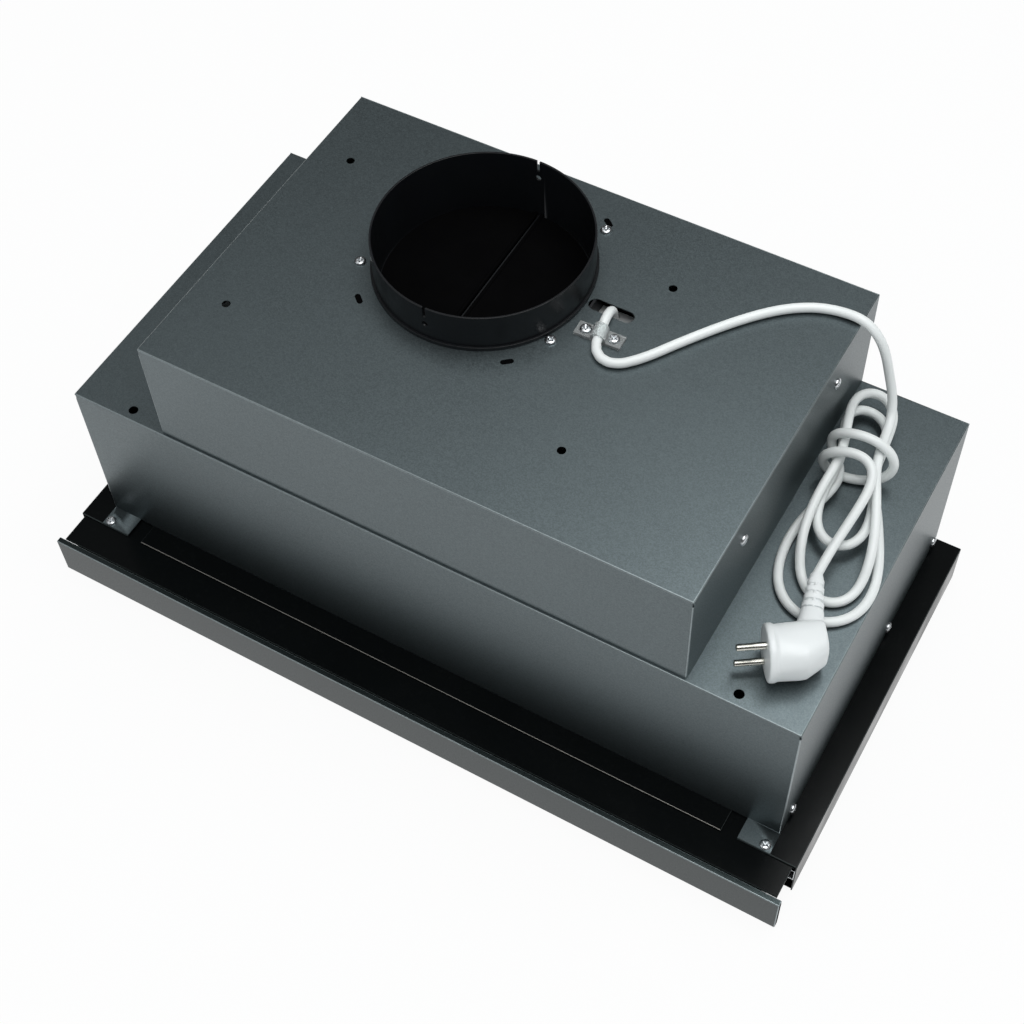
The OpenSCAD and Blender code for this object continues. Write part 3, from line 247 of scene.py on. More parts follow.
def bare_metal(name, color, rough, stretch=(1, 1, 1), vary=0.12, scale=120):
    m = Nodes(name, color, rough, metal=1.0)
    streak = m.noise(scale, 4, stretch=stretch, roughness=0.6)
    m.color(m.mix(m.ramp(streak, 0.3, 0.7, 0, 1), scaled(color, 1 - vary), color))
    m.rough(m.ramp(streak, 0.3, 0.7, rough - 0.05, rough + 0.1))
    m.bump(streak, 0.00003, 0.5)
    return m.mat


graphite = metallic_paint("graphite_paint", (0.112, 0.138, 0.146), 0.17, 0.40)
# the folds take a lighter copy of the graphite paint: painted highlight along the bevels, on top of
# the real highlight their rounding catches
highlight_graphite = metallic_paint("graphite_fold_highlight", (0.25, 0.29, 0.30), 0.12, 0.34)
bar_paint = metallic_paint("bar_paint", (0.022, 0.030, 0.031), 0.14, 0.32)
black_paint = gloss_paint("black_paint", (0.0024, 0.0032, 0.0034), 0.22)
# the folds of the black sheet take a lighter copy of the black paint: painted highlight along the
# bevels
highlight_black = gloss_paint("black_fold_highlight", (0.03, 0.036, 0.036), 0.25)
black_plastic = moulded("black_plastic", (0.0075, 0.0085, 0.0105), 0.36)
collar_black = moulded("collar_black", (0.0060, 0.0070, 0.0085), 0.34, grain=500, shine=0.3)
# painted shade: a near-black copy of the black plastic, all but without shine, for the flaps and
# blower scroll inside the duct
painted_shade_black = moulded("painted_shade_black", (0.0012, 0.0012, 0.0014), 0.8, shine=0.03)
zinc = bare_metal("zinc_plate", (0.70, 0.73, 0.75), 0.26)
strip_metal = bare_metal("cut_edge", (0.30, 0.29, 0.27), 0.4, stretch=(0.2, 3, 3))
aluminium = bare_metal("rolled_aluminium", (0.78, 0.79, 0.80), 0.30, stretch=(0.15, 4, 4))
mesh_metal = bare_metal("mesh_aluminium", (0.70, 0.71, 0.72), 0.34)
copper = bare_metal("copper_wire", (0.62, 0.30, 0.16), 0.35, stretch=(6, 1, 1), scale=220)
white_pvc = moulded("white_pvc", (0.80, 0.83, 0.82), 0.42, grain=600, depth=0.00003, vary=0.05)
white_mould = moulded("white_moulding", (0.80, 0.83, 0.83), 0.34, grain=900, depth=0.00002,
                      vary=0.04)
pin_metal = bare_metal("pin_nickel", (0.66, 0.66, 0.60), 0.22)
board_green = moulded("board_lacquer", (0.02, 0.11, 0.05), 0.3)


def clear_material():
    m = Nodes("clear_plastic", (0.86, 0.90, 0.90), 0.28)
    m.shader.inputs["Transmission Weight"].default_value = 0.75
    m.shader.inputs["IOR"].default_value = 1.46
    m.bump(m.noise(160, 2), 0.00006, 0.4)
    m.rough(m.ramp(m.noise(90, 3), 0.3, 0.7, 0.2, 0.36))
    return m.mat


clear_plastic = clear_material()


# Cord: the route of the source, in millimetres, then relaxed like a real lead
CORD_D = 6.5
CORD_R = CORD_D / 2
LEDGE_Z = 176.0
TOP_Z = 265.0
TOP_EDGE_X = 200.0
CORD_TOP = 268.4
LEAD = [
    (51.5, 71.5, 252.3), (52, 68.6, 258), (52.6, 65.3, 264), (53.1, 61.9, 267.4),
    (53.7, 57.5, 269.5), (54.3, 53.1, 270), (54.9, 49, 269.2), (55.25, 46.7, 268.6),
    (55.8, 44, CORD_TOP), (56.6, 40.3, CORD_TOP), (58.2, 33, CORD_TOP), (61.5, 27, CORD_TOP),
    (67, 23.2, CORD_TOP), (73.5, 22.6, CORD_TOP), (80, 25.4, CORD_TOP), (88, 33, CORD_TOP),
    (97, 46, CORD_TOP), (106, 60, CORD_TOP), (115, 73, CORD_TOP), (124, 85.5, CORD_TOP),
    (134, 98, CORD_TOP), (145, 110, CORD_TOP), (157, 120, CORD_TOP), (170, 127.5, CORD_TOP),
    (183, 131, CORD_TOP), (194, 131.5, 268.7), (201.5, 131, 268.4), (207.5, 130.4, 265.4),
    (213, 129.8, 260), (218.5, 129, 251.5), (222, 128.5, 242), (225, 128, 232),
    (228.5, 127, 222), (232, 124.5, 212.5), (234.6, 120, 205), (235.8, 115, 201),
]
HANK_MID = (231, 72)
HANK_TILT = radians(10.4)
LAYER_STEP = CORD_D + 0.8
BED_Z = LEDGE_Z + CORD_R + 0.1
CROSSING_HUMP = dict(height=11.4, at=9, reach=26)
WAIST_HALF = 12
WRAP = dict(half_w=23, half_h=18.5, start=15.2, pitch=16, first=135, turn=405)
FIRST_DROP = (52, 88)
# Lobes of the hank: length, half width, drift, layer, and the angles between which it drops
LOW_LOBES = [(94.5, 38.7, 4.4, 2), (55.7, 26.7, 0.7, 1), (110, 56.5, 0.8, 0)]
HIGH_LOBES = [(71.6, 28.2, -1.1, 2, 13, 171), (60.8, 28, -3.4, 1, 15.6, 154.4)]
PLUG_AT = (238, -81.5, LEDGE_Z + 19.2)
RELIEF_TIP = (242, -14, PLUG_AT[2])
RELIEF_TURN = radians(18)
RELIEF_LEN = 28

# How the route is eased: its parts per lobe, step and held ends, then gaps and steps in millimetres
HANK_PARTS = 24
ROUTE_STEP = 3.2
HELD_AT_EXIT = 26
HELD_AT_PLUG = 3
EASING_ROUNDS = 60
BEND_SHARE = 0.5
NEIGHBOURS = 5
TURN_GAP = 0.15
PUSH_SHARE = 0.4
PUSH_LIMIT = 1.5
FLOOR_GAP = 0.05
WALL_GAP = 0.3
TOP_REACH = 6
WALL_REACH = 4


def place(s, v, z):
    return np.array([HANK_MID[0] - s * sin(HANK_TILT) + v * cos(HANK_TILT),
                     HANK_MID[1] + s * cos(HANK_TILT) + v * sin(HANK_TILT), z])


def smooth(t):
    u = min(1, max(0, t))
    return u * u * (3 - 2 * u)


def layer_z(s, layer):
    off = (s - CROSSING_HUMP["at"]) / CROSSING_HUMP["reach"]
    return BED_Z + layer * LAYER_STEP + CROSSING_HUMP["height"] * exp(-off ** 2 / 2)


def low_point(lobe, degrees):
    a = radians(degrees)
    s = -lobe[0] * sin(a)
    spread = WAIST_HALF + (lobe[1] - WAIST_HALF) * sin(a)
    drop = 0
    if lobe[3] == 2:
        drop = smooth((-s - FIRST_DROP[0]) / (FIRST_DROP[1] - FIRST_DROP[0]))
    return place(s, cos(a) * spread + lobe[2] * sin(a) ** 2, layer_z(s, lobe[3] * (1 - drop)))


def high_point(lobe, degrees):
    a = radians(degrees)
    s = lobe[0] * sin(a)
    spread = WAIST_HALF + (lobe[1] - WAIST_HALF) * sin(a) ** 2
    drop = smooth((degrees - lobe[4]) / (lobe[5] - lobe[4]))
    return place(s, -cos(a) * spread + lobe[2] * sin(a) ** 2, layer_z(s, lobe[3] - drop))


def wrap_point(t):
    a = radians(WRAP["first"] - t * WRAP["turn"])
    along = WRAP["start"] - WRAP["pitch"] * WRAP["turn"] / 360 * t
    return place(along, WRAP["half_w"] * cos(a), BED_Z + WRAP["half_h"] * (1 + sin(a)))


def unit(v):
    return v / np.linalg.norm(v)


def bezier(p, t):
    return ((1 - t) ** 3 * p[0] + 3 * (1 - t) ** 2 * t * p[1]
            + 3 * (1 - t) * t * t * p[2] + t ** 3 * p[3])


def hank_points(n):
    """The hank from the edge of the box to the plug, in order: lobes, waist, wrap and tail."""
    last = low_point(LOW_LOBES[2], 150)
    last_dir = unit(last - low_point(LOW_LOBES[2], 149))
    first_wrap = wrap_point(0)
    first_dir = unit(wrap_point(0.002) - first_wrap)
    end_wrap = wrap_point(1)
    end_dir = unit(end_wrap - wrap_point(0.998))
    waist = place(6, -12, layer_z(6, 0) - 1)
    waist_dir = unit(place(1, -0.67, 0.1) - place(0, 0, 0))
    tip = np.array(RELIEF_TIP)
    to_waist = [last, last + 30.4 * last_dir, waist - 17.7 * waist_dir, waist]
    to_wrap = [waist, waist + 16.6 * waist_dir, first_wrap - 11.3 * first_dir, first_wrap]
    to_plug = [end_wrap, end_wrap + 25.4 * end_dir,
               tip + [0, 46.8, 3.3], tip + [0, CORD_D, 0]]
    points = [place(s, WAIST_HALF, layer_z(s, 2)) for s in (30, 24, 18, 12, 6)]
    points += [low_point(LOW_LOBES[0], 180 * i / n) for i in range(n)]
    points += [high_point(HIGH_LOBES[0], 180 * i / n) for i in range(n)]
    points += [low_point(LOW_LOBES[1], 180 * i / n) for i in range(n)]
    points += [high_point(HIGH_LOBES[1], 180 * i / n) for i in range(n)]
    points += [low_point(LOW_LOBES[2], 150 * i / n) for i in range(n)]
    points += [bezier(to_waist, i / n) for i in range(n)]
    points += [bezier(to_wrap, i / n) for i in range(n)]
    points += [wrap_point(i / (2 * n)) for i in range(2 * n)]
    points += [bezier(to_plug, i / n) for i in range(n + 1)]
    points.append(tip)
    return points


def resample(points, step):
    points = np.array(points, float)
    run = np.concatenate([[0], np.cumsum(np.linalg.norm(np.diff(points, axis=0), axis=1))])
    count = int(round(run[-1] / step)) + 1
    at = np.linspace(0, run[-1], count)
    return np.stack([np.interp(at, run, points[:, k]) for k in range(3)], axis=1)


def rounded(points, fixed, rounds):
    """Eases the bends of a path, and keeps it off itself, the hood and the floor of the ledge."""
    p = points.copy()
    count = len(p)
    order = np.arange(count)
    near = np.abs(order[:, None] - order[None, :]) <= NEIGHBOURS
    for _ in range(rounds):
        mean = (p[:-2] + p[2:]) / 2
        ease = np.zeros_like(p)
        ease[1:-1] = mean - p[1:-1]
        bend = np.zeros_like(p)
        bend[1:-1] = ease[1:-1] - (ease[:-2] + ease[2:]) / 2
        p += BEND_SHARE * bend
        apart = p[:, None, :] - p[None, :, :]
        dist = np.linalg.norm(apart, axis=2)
        dist[near] = 1e3
        short = np.clip(CORD_D + TURN_GAP - dist, 0, PUSH_LIMIT)
        push = (apart / dist[..., None]) * short[..., None] * PUSH_SHARE
        p += push.sum(axis=1)
        over_top = (p[:, 0] < TOP_EDGE_X) & (p[:, 2] > TOP_Z - TOP_REACH)
        floor_z = np.where(over_top, TOP_Z, LEDGE_Z) + CORD_R + FLOOR_GAP
        p[:, 2] = np.maximum(p[:, 2], floor_z)
        beside = (p[:, 2] < TOP_Z) & (p[:, 0] > TOP_EDGE_X - WALL_REACH)
        p[beside, 0] = np.maximum(p[beside, 0], TOP_EDGE_X + CORD_R + WALL_GAP)
        p[fixed] = points[fixed]
    return p


route = resample(LEAD + hank_points(HANK_PARTS), ROUTE_STEP)
held = np.zeros(len(route), bool)
held[:HELD_AT_EXIT] = True
held[-HELD_AT_PLUG:] = True
route = rounded(route, held, EASING_ROUNDS)


def catmull(points, parts):
    """A smooth curve through the points, with so many parts between each two."""
    out = []
    for i in range(len(points) - 1):
        a = points[max(i - 1, 0)]
        b = points[i]
        c = points[i + 1]
        d = points[min(i + 2, len(points) - 1)]
        for k in range(parts):
            t = k / parts
            out.append(0.5 * (2 * b + (c - a) * t + (2 * a - 5 * b + 4 * c - d) * t * t
                              + (3 * b - a - 3 * c + d) * t ** 3))
    out.append(points[-1])
    return np.array(out)


def curve_object(name, points, radius):
    data = bpy.data.curves.new(name, "CURVE")
    data.dimensions = "3D"
    spline = data.splines.new("POLY")
    spline.points.add(len(points) - 1)
    for at, p in zip(spline.points, points):
        at.co = (*[float(x) * MM for x in p], 1)
        at.radius = radius * MM
    data.bevel_depth = 1.0
    data.bevel_resolution = 6
    data.use_fill_caps = True
    spline.use_smooth = True
    return add_object(name, data)


cord = curve_object("mains_lead", catmull(route, 2), CORD_R)
dress(cord, white_pvc, "white_plastic", "cord_lead", "cord_hank")


# Plug: a moulded angled body with its rim, neck and ribbed relief
def lathe(bm, profile, matrix, sides=48):
    """Turns (radius, height) pairs round the Z axis and places them by matrix."""
    rings = []
    for radius, height in profile:
        if radius < 1e-6:
            rings.append([bm.verts.new(matrix @ Vector((0, 0, height)))])
        else:
            angles = [2 * pi * k / sides for k in range(sides)]
            ring = [Vector((radius * cos(a), radius * sin(a), height)) for a in angles]
            rings.append([bm.verts.new(matrix @ point) for point in ring])
    for low, high in zip(rings, rings[1:]):
        for k in range(sides):
            j = (k + 1) % sides
            if len(low) == 1:
                bm.faces.new((low[0], high[k], high[j]))
            elif len(high) == 1:
                bm.faces.new((low[k], low[j], high[0]))
            else:
                bm.faces.new((low[k], low[j], high[j], high[k]))
    return rings


def superellipse_loft(bm, sections, sides=40):
    """Joins rounded-box sections (centre, half width, half height, power, side axis, up axis)."""
    rings = []
    for centre, half_w, half_h, power, side, up in sections:
        ring = []
        for k in range(sides):
            a = 2 * pi * k / sides
            c, s = cos(a), sin(a)
            u = half_w * (abs(c) ** (2 / power)) * (1 if c >= 0 else -1)
            v = half_h * (abs(s) ** (2 / power)) * (1 if s >= 0 else -1)
            ring.append(bm.verts.new(Vector(centre) + u * Vector(side) + v * Vector(up)))
        rings.append(ring)
    for low, high in zip(rings, rings[1:]):
        for k in range(sides):
            j = (k + 1) % sides
            bm.faces.new((low[k], low[j], high[j], high[k]))
    bm.faces.new(list(reversed(rings[0])))
    bm.faces.new(rings[-1])


PLUG_TURN = radians(214)
# Sections from the face with the pins backwards, in millimetres
PLUG_RIM = ((0, 17.0, 17.6), (0.7, 18.0, 18.8), (4.4, 18.1, 18.9), (5.2, 17.6, 18.2))
PLUG_BODY = (
    (4, 16.9, 17.2, 17.2, 2.3), (12, 16.8, 17.1, 16.6, 2.6), (20, 16.7, 17.0, 15.8, 3.0),
    (24, 16.6, 16.4, 15.4, 3.2), (31, 16.5, 12.0, 14.6, 3.2), (36.4, 16.3, 8.4, 13.8, 3.2),
    (37.6, 15.4, 7.4, 12.8, 3.0),
)
PLUG_NECK = ((22, 10.5, 10), (14, 9.6, 9.2), (7, 8.4, 8.2), (-0.5, 7.3, 7.1))
PIN_PROFILE = ((0, 0), (2.4, 0), (2.4, 9), (2.25, 9.3), (2.25, 18.3), (2.0, 19.0),
               (1.3, 19.4), (0, 19.5))
PIN_OFFSET = 9.5
pin_dir = Vector((cos(PLUG_TURN), sin(PLUG_TURN), 0))
plug_side = Vector((-sin(PLUG_TURN), cos(PLUG_TURN), 0))
up_axis = Vector((0, 0, 1))
plug_at = Vector(PLUG_AT) * MM


def plug_point(back, side, up):
    return plug_at - pin_dir * back * MM + plug_side * side * MM + up_axis * up * MM


relief_dir = Vector((-sin(RELIEF_TURN), cos(RELIEF_TURN), 0))
relief_side = Vector((cos(RELIEF_TURN), sin(RELIEF_TURN), 0))


def relief_point(back, side):
    return Vector(RELIEF_TIP) * MM - relief_dir * back * MM + relief_side * side * MM


def remeshed(obj, voxel, rounds):
    remesh = obj.modifiers.new("shell", "REMESH")
    remesh.mode = "VOXEL"
    remesh.voxel_size = voxel
    ease = obj.modifiers.new("ease", "SMOOTH")
    ease.factor = 0.6
    ease.iterations = rounds
    view = bpy.context.evaluated_depsgraph_get()
    view.update()
    mesh = bpy.data.meshes.new_from_object(obj.evaluated_get(view))
    obj.modifiers.clear()
    obj.data = mesh
    shade_smooth(mesh)


def build_plug():
    bm = bmesh.new()
    axes = (plug_side, up_axis)
    rim = [(plug_point(back, 0, 0), w * MM, h * MM, 2.2, *axes) for back, w, h in PLUG_RIM]
    superellipse_loft(bm, rim)
    body = [(plug_point(back, (far - near) / 2, 0), (near + far) / 2 * MM, h * MM, power, *axes)
            for back, near, far, h, power in PLUG_BODY]
    superellipse_loft(bm, body)
    neck = [(relief_point(RELIEF_LEN + back, 0), w * MM, h * MM, 2.6, relief_side, up_axis)
            for back, w, h in PLUG_NECK]
    superellipse_loft(bm, neck)
    obj = add_object("plug_moulding", mesh_from("plug_moulding", bm))
    remeshed(obj, 0.0008, 7)
    dress(obj, white_mould, "white_plastic", "plug_body")
    return obj


def build_relief():
    bm = bmesh.new()
    axes = (relief_side, up_axis)
    count = 4
    pitch = (RELIEF_LEN - 4) / count
    sections = []
    for i in range(count):
        back = RELIEF_LEN - i * pitch
        w = 7.0 - 0.55 * i
        core = 5.0 - 0.15 * i
        rib = ((0.0, core), (0.9, core), (1.3, w), (pitch - 1.3, w), (pitch - 0.9, core))
        for along, half in rib:
            centre = relief_point(back - along, 0)
            sections.append((centre, half * MM, half * 0.92 * MM, 2.8, *axes))
    sections.append((relief_point(3, 0), 4.6 * MM, 4.4 * MM, 2.2, *axes))
    sections.append((relief_point(0, 0), 3.9 * MM, 3.9 * MM, 2, *axes))
    superellipse_loft(bm, sections, sides=32)
    spine = [(relief_point(back, 0), 1.3 * MM, h * MM, 3, *axes)
             for back, h in ((RELIEF_LEN, 6.3), (6, 4.9))]
    superellipse_loft(bm, spine, sides=16)
    flank = [(relief_point(back, 0), w * MM, 1.4 * MM, 3, *axes)
             for back, w in ((RELIEF_LEN, 6.9), (6, 5.1))]
    superellipse_loft(bm, flank, sides=16)
    obj = add_object("relief_moulding", mesh_from("relief_moulding", bm, 50))
    soft = obj.modifiers.new("soft_edges", "BEVEL")
    soft.width = 0.0003
    soft.segments = 2
    soft.limit_method = "ANGLE"
    dress(obj, white_mould, "white_plastic", "strain_relief")
    return obj


def build_pins():
    bm = bmesh.new()
    for side in (-1, 1):
        start = plug_point(0.5, 0, side * PIN_OFFSET)
        rot = pin_dir.to_track_quat("Z", "Y").to_matrix().to_4x4()
        profile = [(radius * MM, height * MM) for radius, height in PIN_PROFILE]
        lathe(bm, profile, Matrix.Translation(start) @ rot, 32)
    obj = add_object("contact_pins", mesh_from("contact_pins", bm))
    dress(obj, pin_metal, "zinc", "plug_pins")
    return obj


plug = build_plug()
relief = build_relief()
pins = build_pins()


# Sheet and moulded pieces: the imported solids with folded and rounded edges
FLAT_ANGLE = radians(0.3)
FOLD_ANGLE = radians(28)
MOST_SPILL = 0.02 * MM
ON_PLANE = 2e-6
UPPER_LEFT_X = -203
LOWER_HALF_W = 279
TRAY_HALF_W = 299
UPPER_PLANES = [(0, UPPER_LEFT_X), (0, TOP_EDGE_X), (1, -111), (2, TOP_Z)]
LOWER_PLANES = [(0, -LOWER_HALF_W), (0, LOWER_HALF_W), (1, -113), (2, LEDGE_Z)]
TRAY_PLANES = [(0, -TRAY_HALF_W), (0, TRAY_HALF_W), (1, 160), (2, 37), (1, -130)]


def soften(node, width, material, slot, edge=None, segments=2, pick=None, min_len=0.0):
    """Copies a node's mesh, and bevels its edges by width, or by less if that stands proud; the
    bevel faces take the edge material, a lighter copy of the paint as painted highlight.
    """
    source = nodes[node]
    low, high = (Vector(corner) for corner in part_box(node))
    for size, clamp in ((width, False), (width * 0.5, False), (width, True), (0, True)):
        bm = bmesh.new()
        bm.from_mesh(source.data)
        bmesh.ops.remove_doubles(bm, verts=bm.verts, dist=2e-6)
        bmesh.ops.dissolve_limit(bm, angle_limit=FLAT_ANGLE, verts=bm.verts, edges=bm.edges)
        chosen = []
        for e in bm.edges:
            if len(e.link_faces) != 2 or e.calc_length() < min_len:
                continue
            if e.calc_face_angle_signed(0) < FOLD_ANGLE:
                continue
            if pick is None or pick(e.verts[0].co, e.verts[1].co):
                chosen.append(e)
        if chosen and size:
            bmesh.ops.bevel(bm, geom=chosen, offset=size * MM, offset_type="OFFSET",
                            segments=segments, profile=0.5, affect="EDGES",
                            clamp_overlap=clamp, material=1 if edge else -1)
        spill = max(max(low[k] - v.co[k], v.co[k] - high[k]) for v in bm.verts for k in range(3))
        if spill < MOST_SPILL:
            break
        bm.free()
    mesh = bpy.data.meshes.new(node + "_dressed")
    bm.to_mesh(mesh)
    bm.free()
    shade_smooth(mesh)
    mesh.set_sharp_from_angle(angle=radians(32))
    obj = add_object(node + "_dressed", mesh, node_body[node])
    weigh_normals(obj)
    dress(obj, material, slot, node)
    # the bevel faces get the lighter edge paint: painted fold highlight
    if edge:
        mesh.materials.append(edge)


def on_planes(limits):
    """Picks the edges that lie on two of the given outer planes (axis, place in millimetres)."""
    def picked(a, b):
        hits = 0
        for axis, at in limits:
            if abs(a[axis] - at * MM) < ON_PLANE and abs(b[axis] - at * MM) < ON_PLANE:
                hits += 1
        return hits >= 2
    return picked


soften("upper_housing", 0.9, graphite, "graphite_sheet", highlight_graphite, 3,
       on_planes(UPPER_PLANES))
soften("lower_housing", 0.9, graphite, "graphite_sheet", highlight_graphite, 3,
       on_planes(LOWER_PLANES))
soften("back_panel", 0.3, graphite, "graphite_sheet", highlight_graphite, 2, min_len=0.004)
soften("base_tray", 0.7, black_paint, "black_sheet", highlight_black, 3, on_planes(TRAY_PLANES))
for name in ("tray_front_strip", "base_plate"):
    soften(name, 0.3, black_paint, "black_sheet", highlight_black, 2, min_len=0.004)
soften("front_bar", 0.6, bar_paint, "graphite_sheet", highlight_graphite, 3, min_len=0.003)
soften("visor_panel", 0.25, black_paint, "black_sheet", highlight_black, 2, min_len=0.003)
soften("visor_frame", 0.25, black_paint, "black_sheet", highlight_black, 2, min_len=0.004)
soften("duct_collar", 0.35, collar_black, "black_plastic", None, 3)
# the damper flaps inside the collar take the painted-shade black plastic
soften("damper_flap_left", 0.25, painted_shade_black, "black_plastic", None, 2)
soften("damper_flap_right", 0.25, painted_shade_black, "black_plastic", None, 2)
soften("cable_clamp", 0.5, clear_plastic, "clear_plastic", None, 3)
for name in ("impeller", "terminal_box", "visor_magnet", "control_housing", "filter_left_latch",
             "filter_right_latch"):
    soften(name, 0.3, black_plastic, "black_plastic", None, 2, min_len=0.002)
for name in ("button_off", "button_low", "button_medium", "button_high", "button_light"):
    soften(name, 0.4, black_plastic, "black_plastic", None, 3, min_len=0.002)
for name in ("motor_housing", "motor_bracket", "capacitor_strap", "rail_left", "rail_right",
             "runner_left", "runner_right"):
    soften(name, 0.3, zinc, "zinc", None, 2, min_len=0.002)
for name in ("filter_left_frame", "filter_right_frame", "visor_filter_frame"):
    soften(name, 0.8, aluminium, "aluminium", None, 3, min_len=0.004)
for name in ("capacitor", "terminal_block", "led_driver", "reed_switch", "lamp_housings",
             "glide_shoes"):
    soften(name, 0.6, white_mould, "white_plastic", None, 3, min_len=0.002)
soften("lamp_lenses", 0.4, clear_plastic, "clear_plastic", None, 3)
# Pieces that keep the imported solid's own mesh
# the scroll halves inside the blower take the painted-shade black plastic
for name, material in (("motor_shaft", zinc), ("rotor", zinc), ("bearings", zinc),
                       ("stator", copper), ("led_boards", white_mould),
                       ("control_board", board_green), ("scroll_half_left", painted_shade_black),
                       ("scroll_half_right", painted_shade_black)):
    nodes[name].data.materials.clear()
    nodes[name].data.materials.append(material)


# Screws: pan heads with a cross recess
HEAD_R = 4.0
HEAD_H = 2.1
DOME = [(1, 0.0), (1, 0.35), (0.97, 0.55), (0.86, 0.78), (0.68, 0.93), (0.55, 0.975)]
FLAT_TOP = [0.48, 0.42, 0.36, 0.30, 0.24, 0.18, 0.12, 0.06, 0]
CROSS_HALF_W = 0.36
CROSS_REACH = 0.56 * HEAD_R
CROSS_DEPTH = 1.25


def pan_head(bm, at, axis, spin):
    rot = Vector(axis).to_track_quat("Z", "Y").to_matrix().to_4x4()
    matrix = Matrix.Translation(Vector(at) * MM) @ rot @ Matrix.Rotation(radians(spin), 4, "Z")
    profile = DOME + [(share, 1) for share in FLAT_TOP]
    in_metres = [(r * HEAD_R * MM, h * HEAD_H * MM) for r, h in profile]
    rings = lathe(bm, in_metres, Matrix.Identity(4), 48)
    for ring in rings[len(DOME) - 1:]:
        for vert in ring:
            x, y = vert.co.x / MM, vert.co.y / MM
            arm = min(abs(x), abs(y))
            reach = max(abs(x), abs(y))
            if arm < CROSS_HALF_W and reach < CROSS_REACH:
                vert.co.z -= CROSS_DEPTH * (1 - 0.55 * reach / CROSS_REACH) * MM
    for ring in rings:
        for vert in ring:
            vert.co = matrix @ vert.co


def screws(name, node, places):
    bm = bmesh.new()
    for i, (at, axis) in enumerate(places):
        pan_head(bm, at, axis, 20 + 47 * i)
    dress(add_object(name, mesh_from(name, bm, 40)), zinc, "zinc", node)


UP = (0, 0, 1)
LEFT = (-1, 0, 0)
RIGHT = (1, 0, 0)
COLLAR_X, COLLAR_Y = -41.5, 61.2
CLAMP_X, CLAMP_Y = 56.4, 41.2
CLAMP_TURN = radians(2.3)
CLAMP_SCREW_OFF = 10.1
CLAMP_T = 2.4
BLOWER_SCREWS = [(-74.5, -38), (71.5, -38), (57, 65), (-57, 65)]
TAB_SCREW_X, TAB_SCREW_Y, TAB_SCREW_Z = 273.7, -125.5, 37.8
LOWER_SCREW_Z = 45
LOWER_SCREW_YS = (150, 66, -96)
UPPER_SCREW_Z = 240
UPPER_SCREW_YS = (98, -41)

top_places = [((COLLAR_X + x, COLLAR_Y + y, TOP_Z), UP) for x, y in BLOWER_SCREWS]
for side in (-1, 1):
    off = side * CLAMP_SCREW_OFF
    at = (CLAMP_X + off * cos(CLAMP_TURN), CLAMP_Y + off * sin(CLAMP_TURN), TOP_Z + CLAMP_T)
    top_places.append((at, UP))
tab_places = [((s * TAB_SCREW_X, TAB_SCREW_Y, TAB_SCREW_Z), UP) for s in (-1, 1)]
side_places = [((s * LOWER_HALF_W, y, LOWER_SCREW_Z), (s, 0, 0))
               for s in (-1, 1) for y in LOWER_SCREW_YS]
side_places += [((TOP_EDGE_X, y, UPPER_SCREW_Z), RIGHT) for y in UPPER_SCREW_YS]
side_places += [((UPPER_LEFT_X, y, UPPER_SCREW_Z), LEFT) for y in UPPER_SCREW_YS]
screws("housing_top_screws", "top_screws", top_places)
screws("front_tab_screws", "tab_screws", tab_places)
screws("side_screws", "housing_screws", side_places)


# Expanded metal in the three grease filters
STRAND_HALF_W = 0.45
STRAND_HALF_T = 0.2
STRAND_LIFT = 0.25


def expanded_metal(name, node, body):
    """Fills a filter with three layers of strands that run in waves from side to side."""
    (x0, y0, z0), (x1, y1, z1) = node_mm(node)
    bm = bmesh.new()
    pitch_x, pitch_y = 8.0, 4.0
    outline = [(-STRAND_HALF_W, -STRAND_HALF_T), (STRAND_HALF_W, -STRAND_HALF_T),
               (STRAND_HALF_W, STRAND_HALF_T), (-STRAND_HALF_W, STRAND_HALF_T)]
    for level, z in enumerate((z0 + 0.5, (z0 + z1) / 2, z1 - 0.5)):
        rows = int((y1 - y0) / pitch_y)
        columns = int((x1 - x0) / (pitch_x / 2))
        for row in range(rows):
            base_y = y0 + (row + 0.5) * pitch_y
            last = None
            for column in range(columns + 1):
                x = x0 + column * pitch_x / 2
                wave = 1 if (column + row + level) % 2 else -1
                y = base_y + wave * pitch_y * 0.42
                corners = []
                for dy, dz in outline:
                    corner = Vector((x, min(y1, max(y0, y + dy)), z + dz + wave * STRAND_LIFT))
                    corners.append(bm.verts.new(corner * MM))
                if last:
                    for k in range(4):
                        j = (k + 1) % 4
                        bm.faces.new((last[k], last[j], corners[j], corners[k]))
                last = corners
    dress(add_object(name, mesh_from(name, bm, 60), body), mesh_metal, "aluminium", node)


def node_mm(node):
    low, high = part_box(node)
    return [v / MM for v in low], [v / MM for v in high]


expanded_metal("left_expanded_metal", "filter_left_mesh", "filter_left")
expanded_metal("right_expanded_metal", "filter_right_mesh", "filter_right")
expanded_metal("visor_expanded_metal", "visor_filter_mesh", "visor")


# Bare cut edge along the tray's front strip
CUT_EDGE_HALF_LEN = 242.5
CUT_EDGE_Y = -129.75
CUT_EDGE_Z = 36.85
CUT_EDGE_HALF_T = 0.42


def cut_edge():
    bm = bmesh.new()
    half = CUT_EDGE_HALF_T * MM
    across = Vector((0, 1, 0))
    sections = [(Vector((x, CUT_EDGE_Y, CUT_EDGE_Z)) * MM, half, half, 2.6, across, up_axis)
                for x in np.linspace(-CUT_EDGE_HALF_LEN, CUT_EDGE_HALF_LEN, 40)]
    superellipse_loft(bm, sections, sides=10)
    dress(add_object("tray_cut_edge", mesh_from("tray_cut_edge", bm, 60)), strip_metal, "zinc")


cut_edge()


# Floor, world and lamps
FLOOR_HALF = 6.0
FLOOR_Z = -0.0005
FLOOR_WHITE_SHARE = 0.93


def cleared_tree(owner):
    owner.use_nodes = True
    owner.node_tree.nodes.clear()
    return owner.node_tree


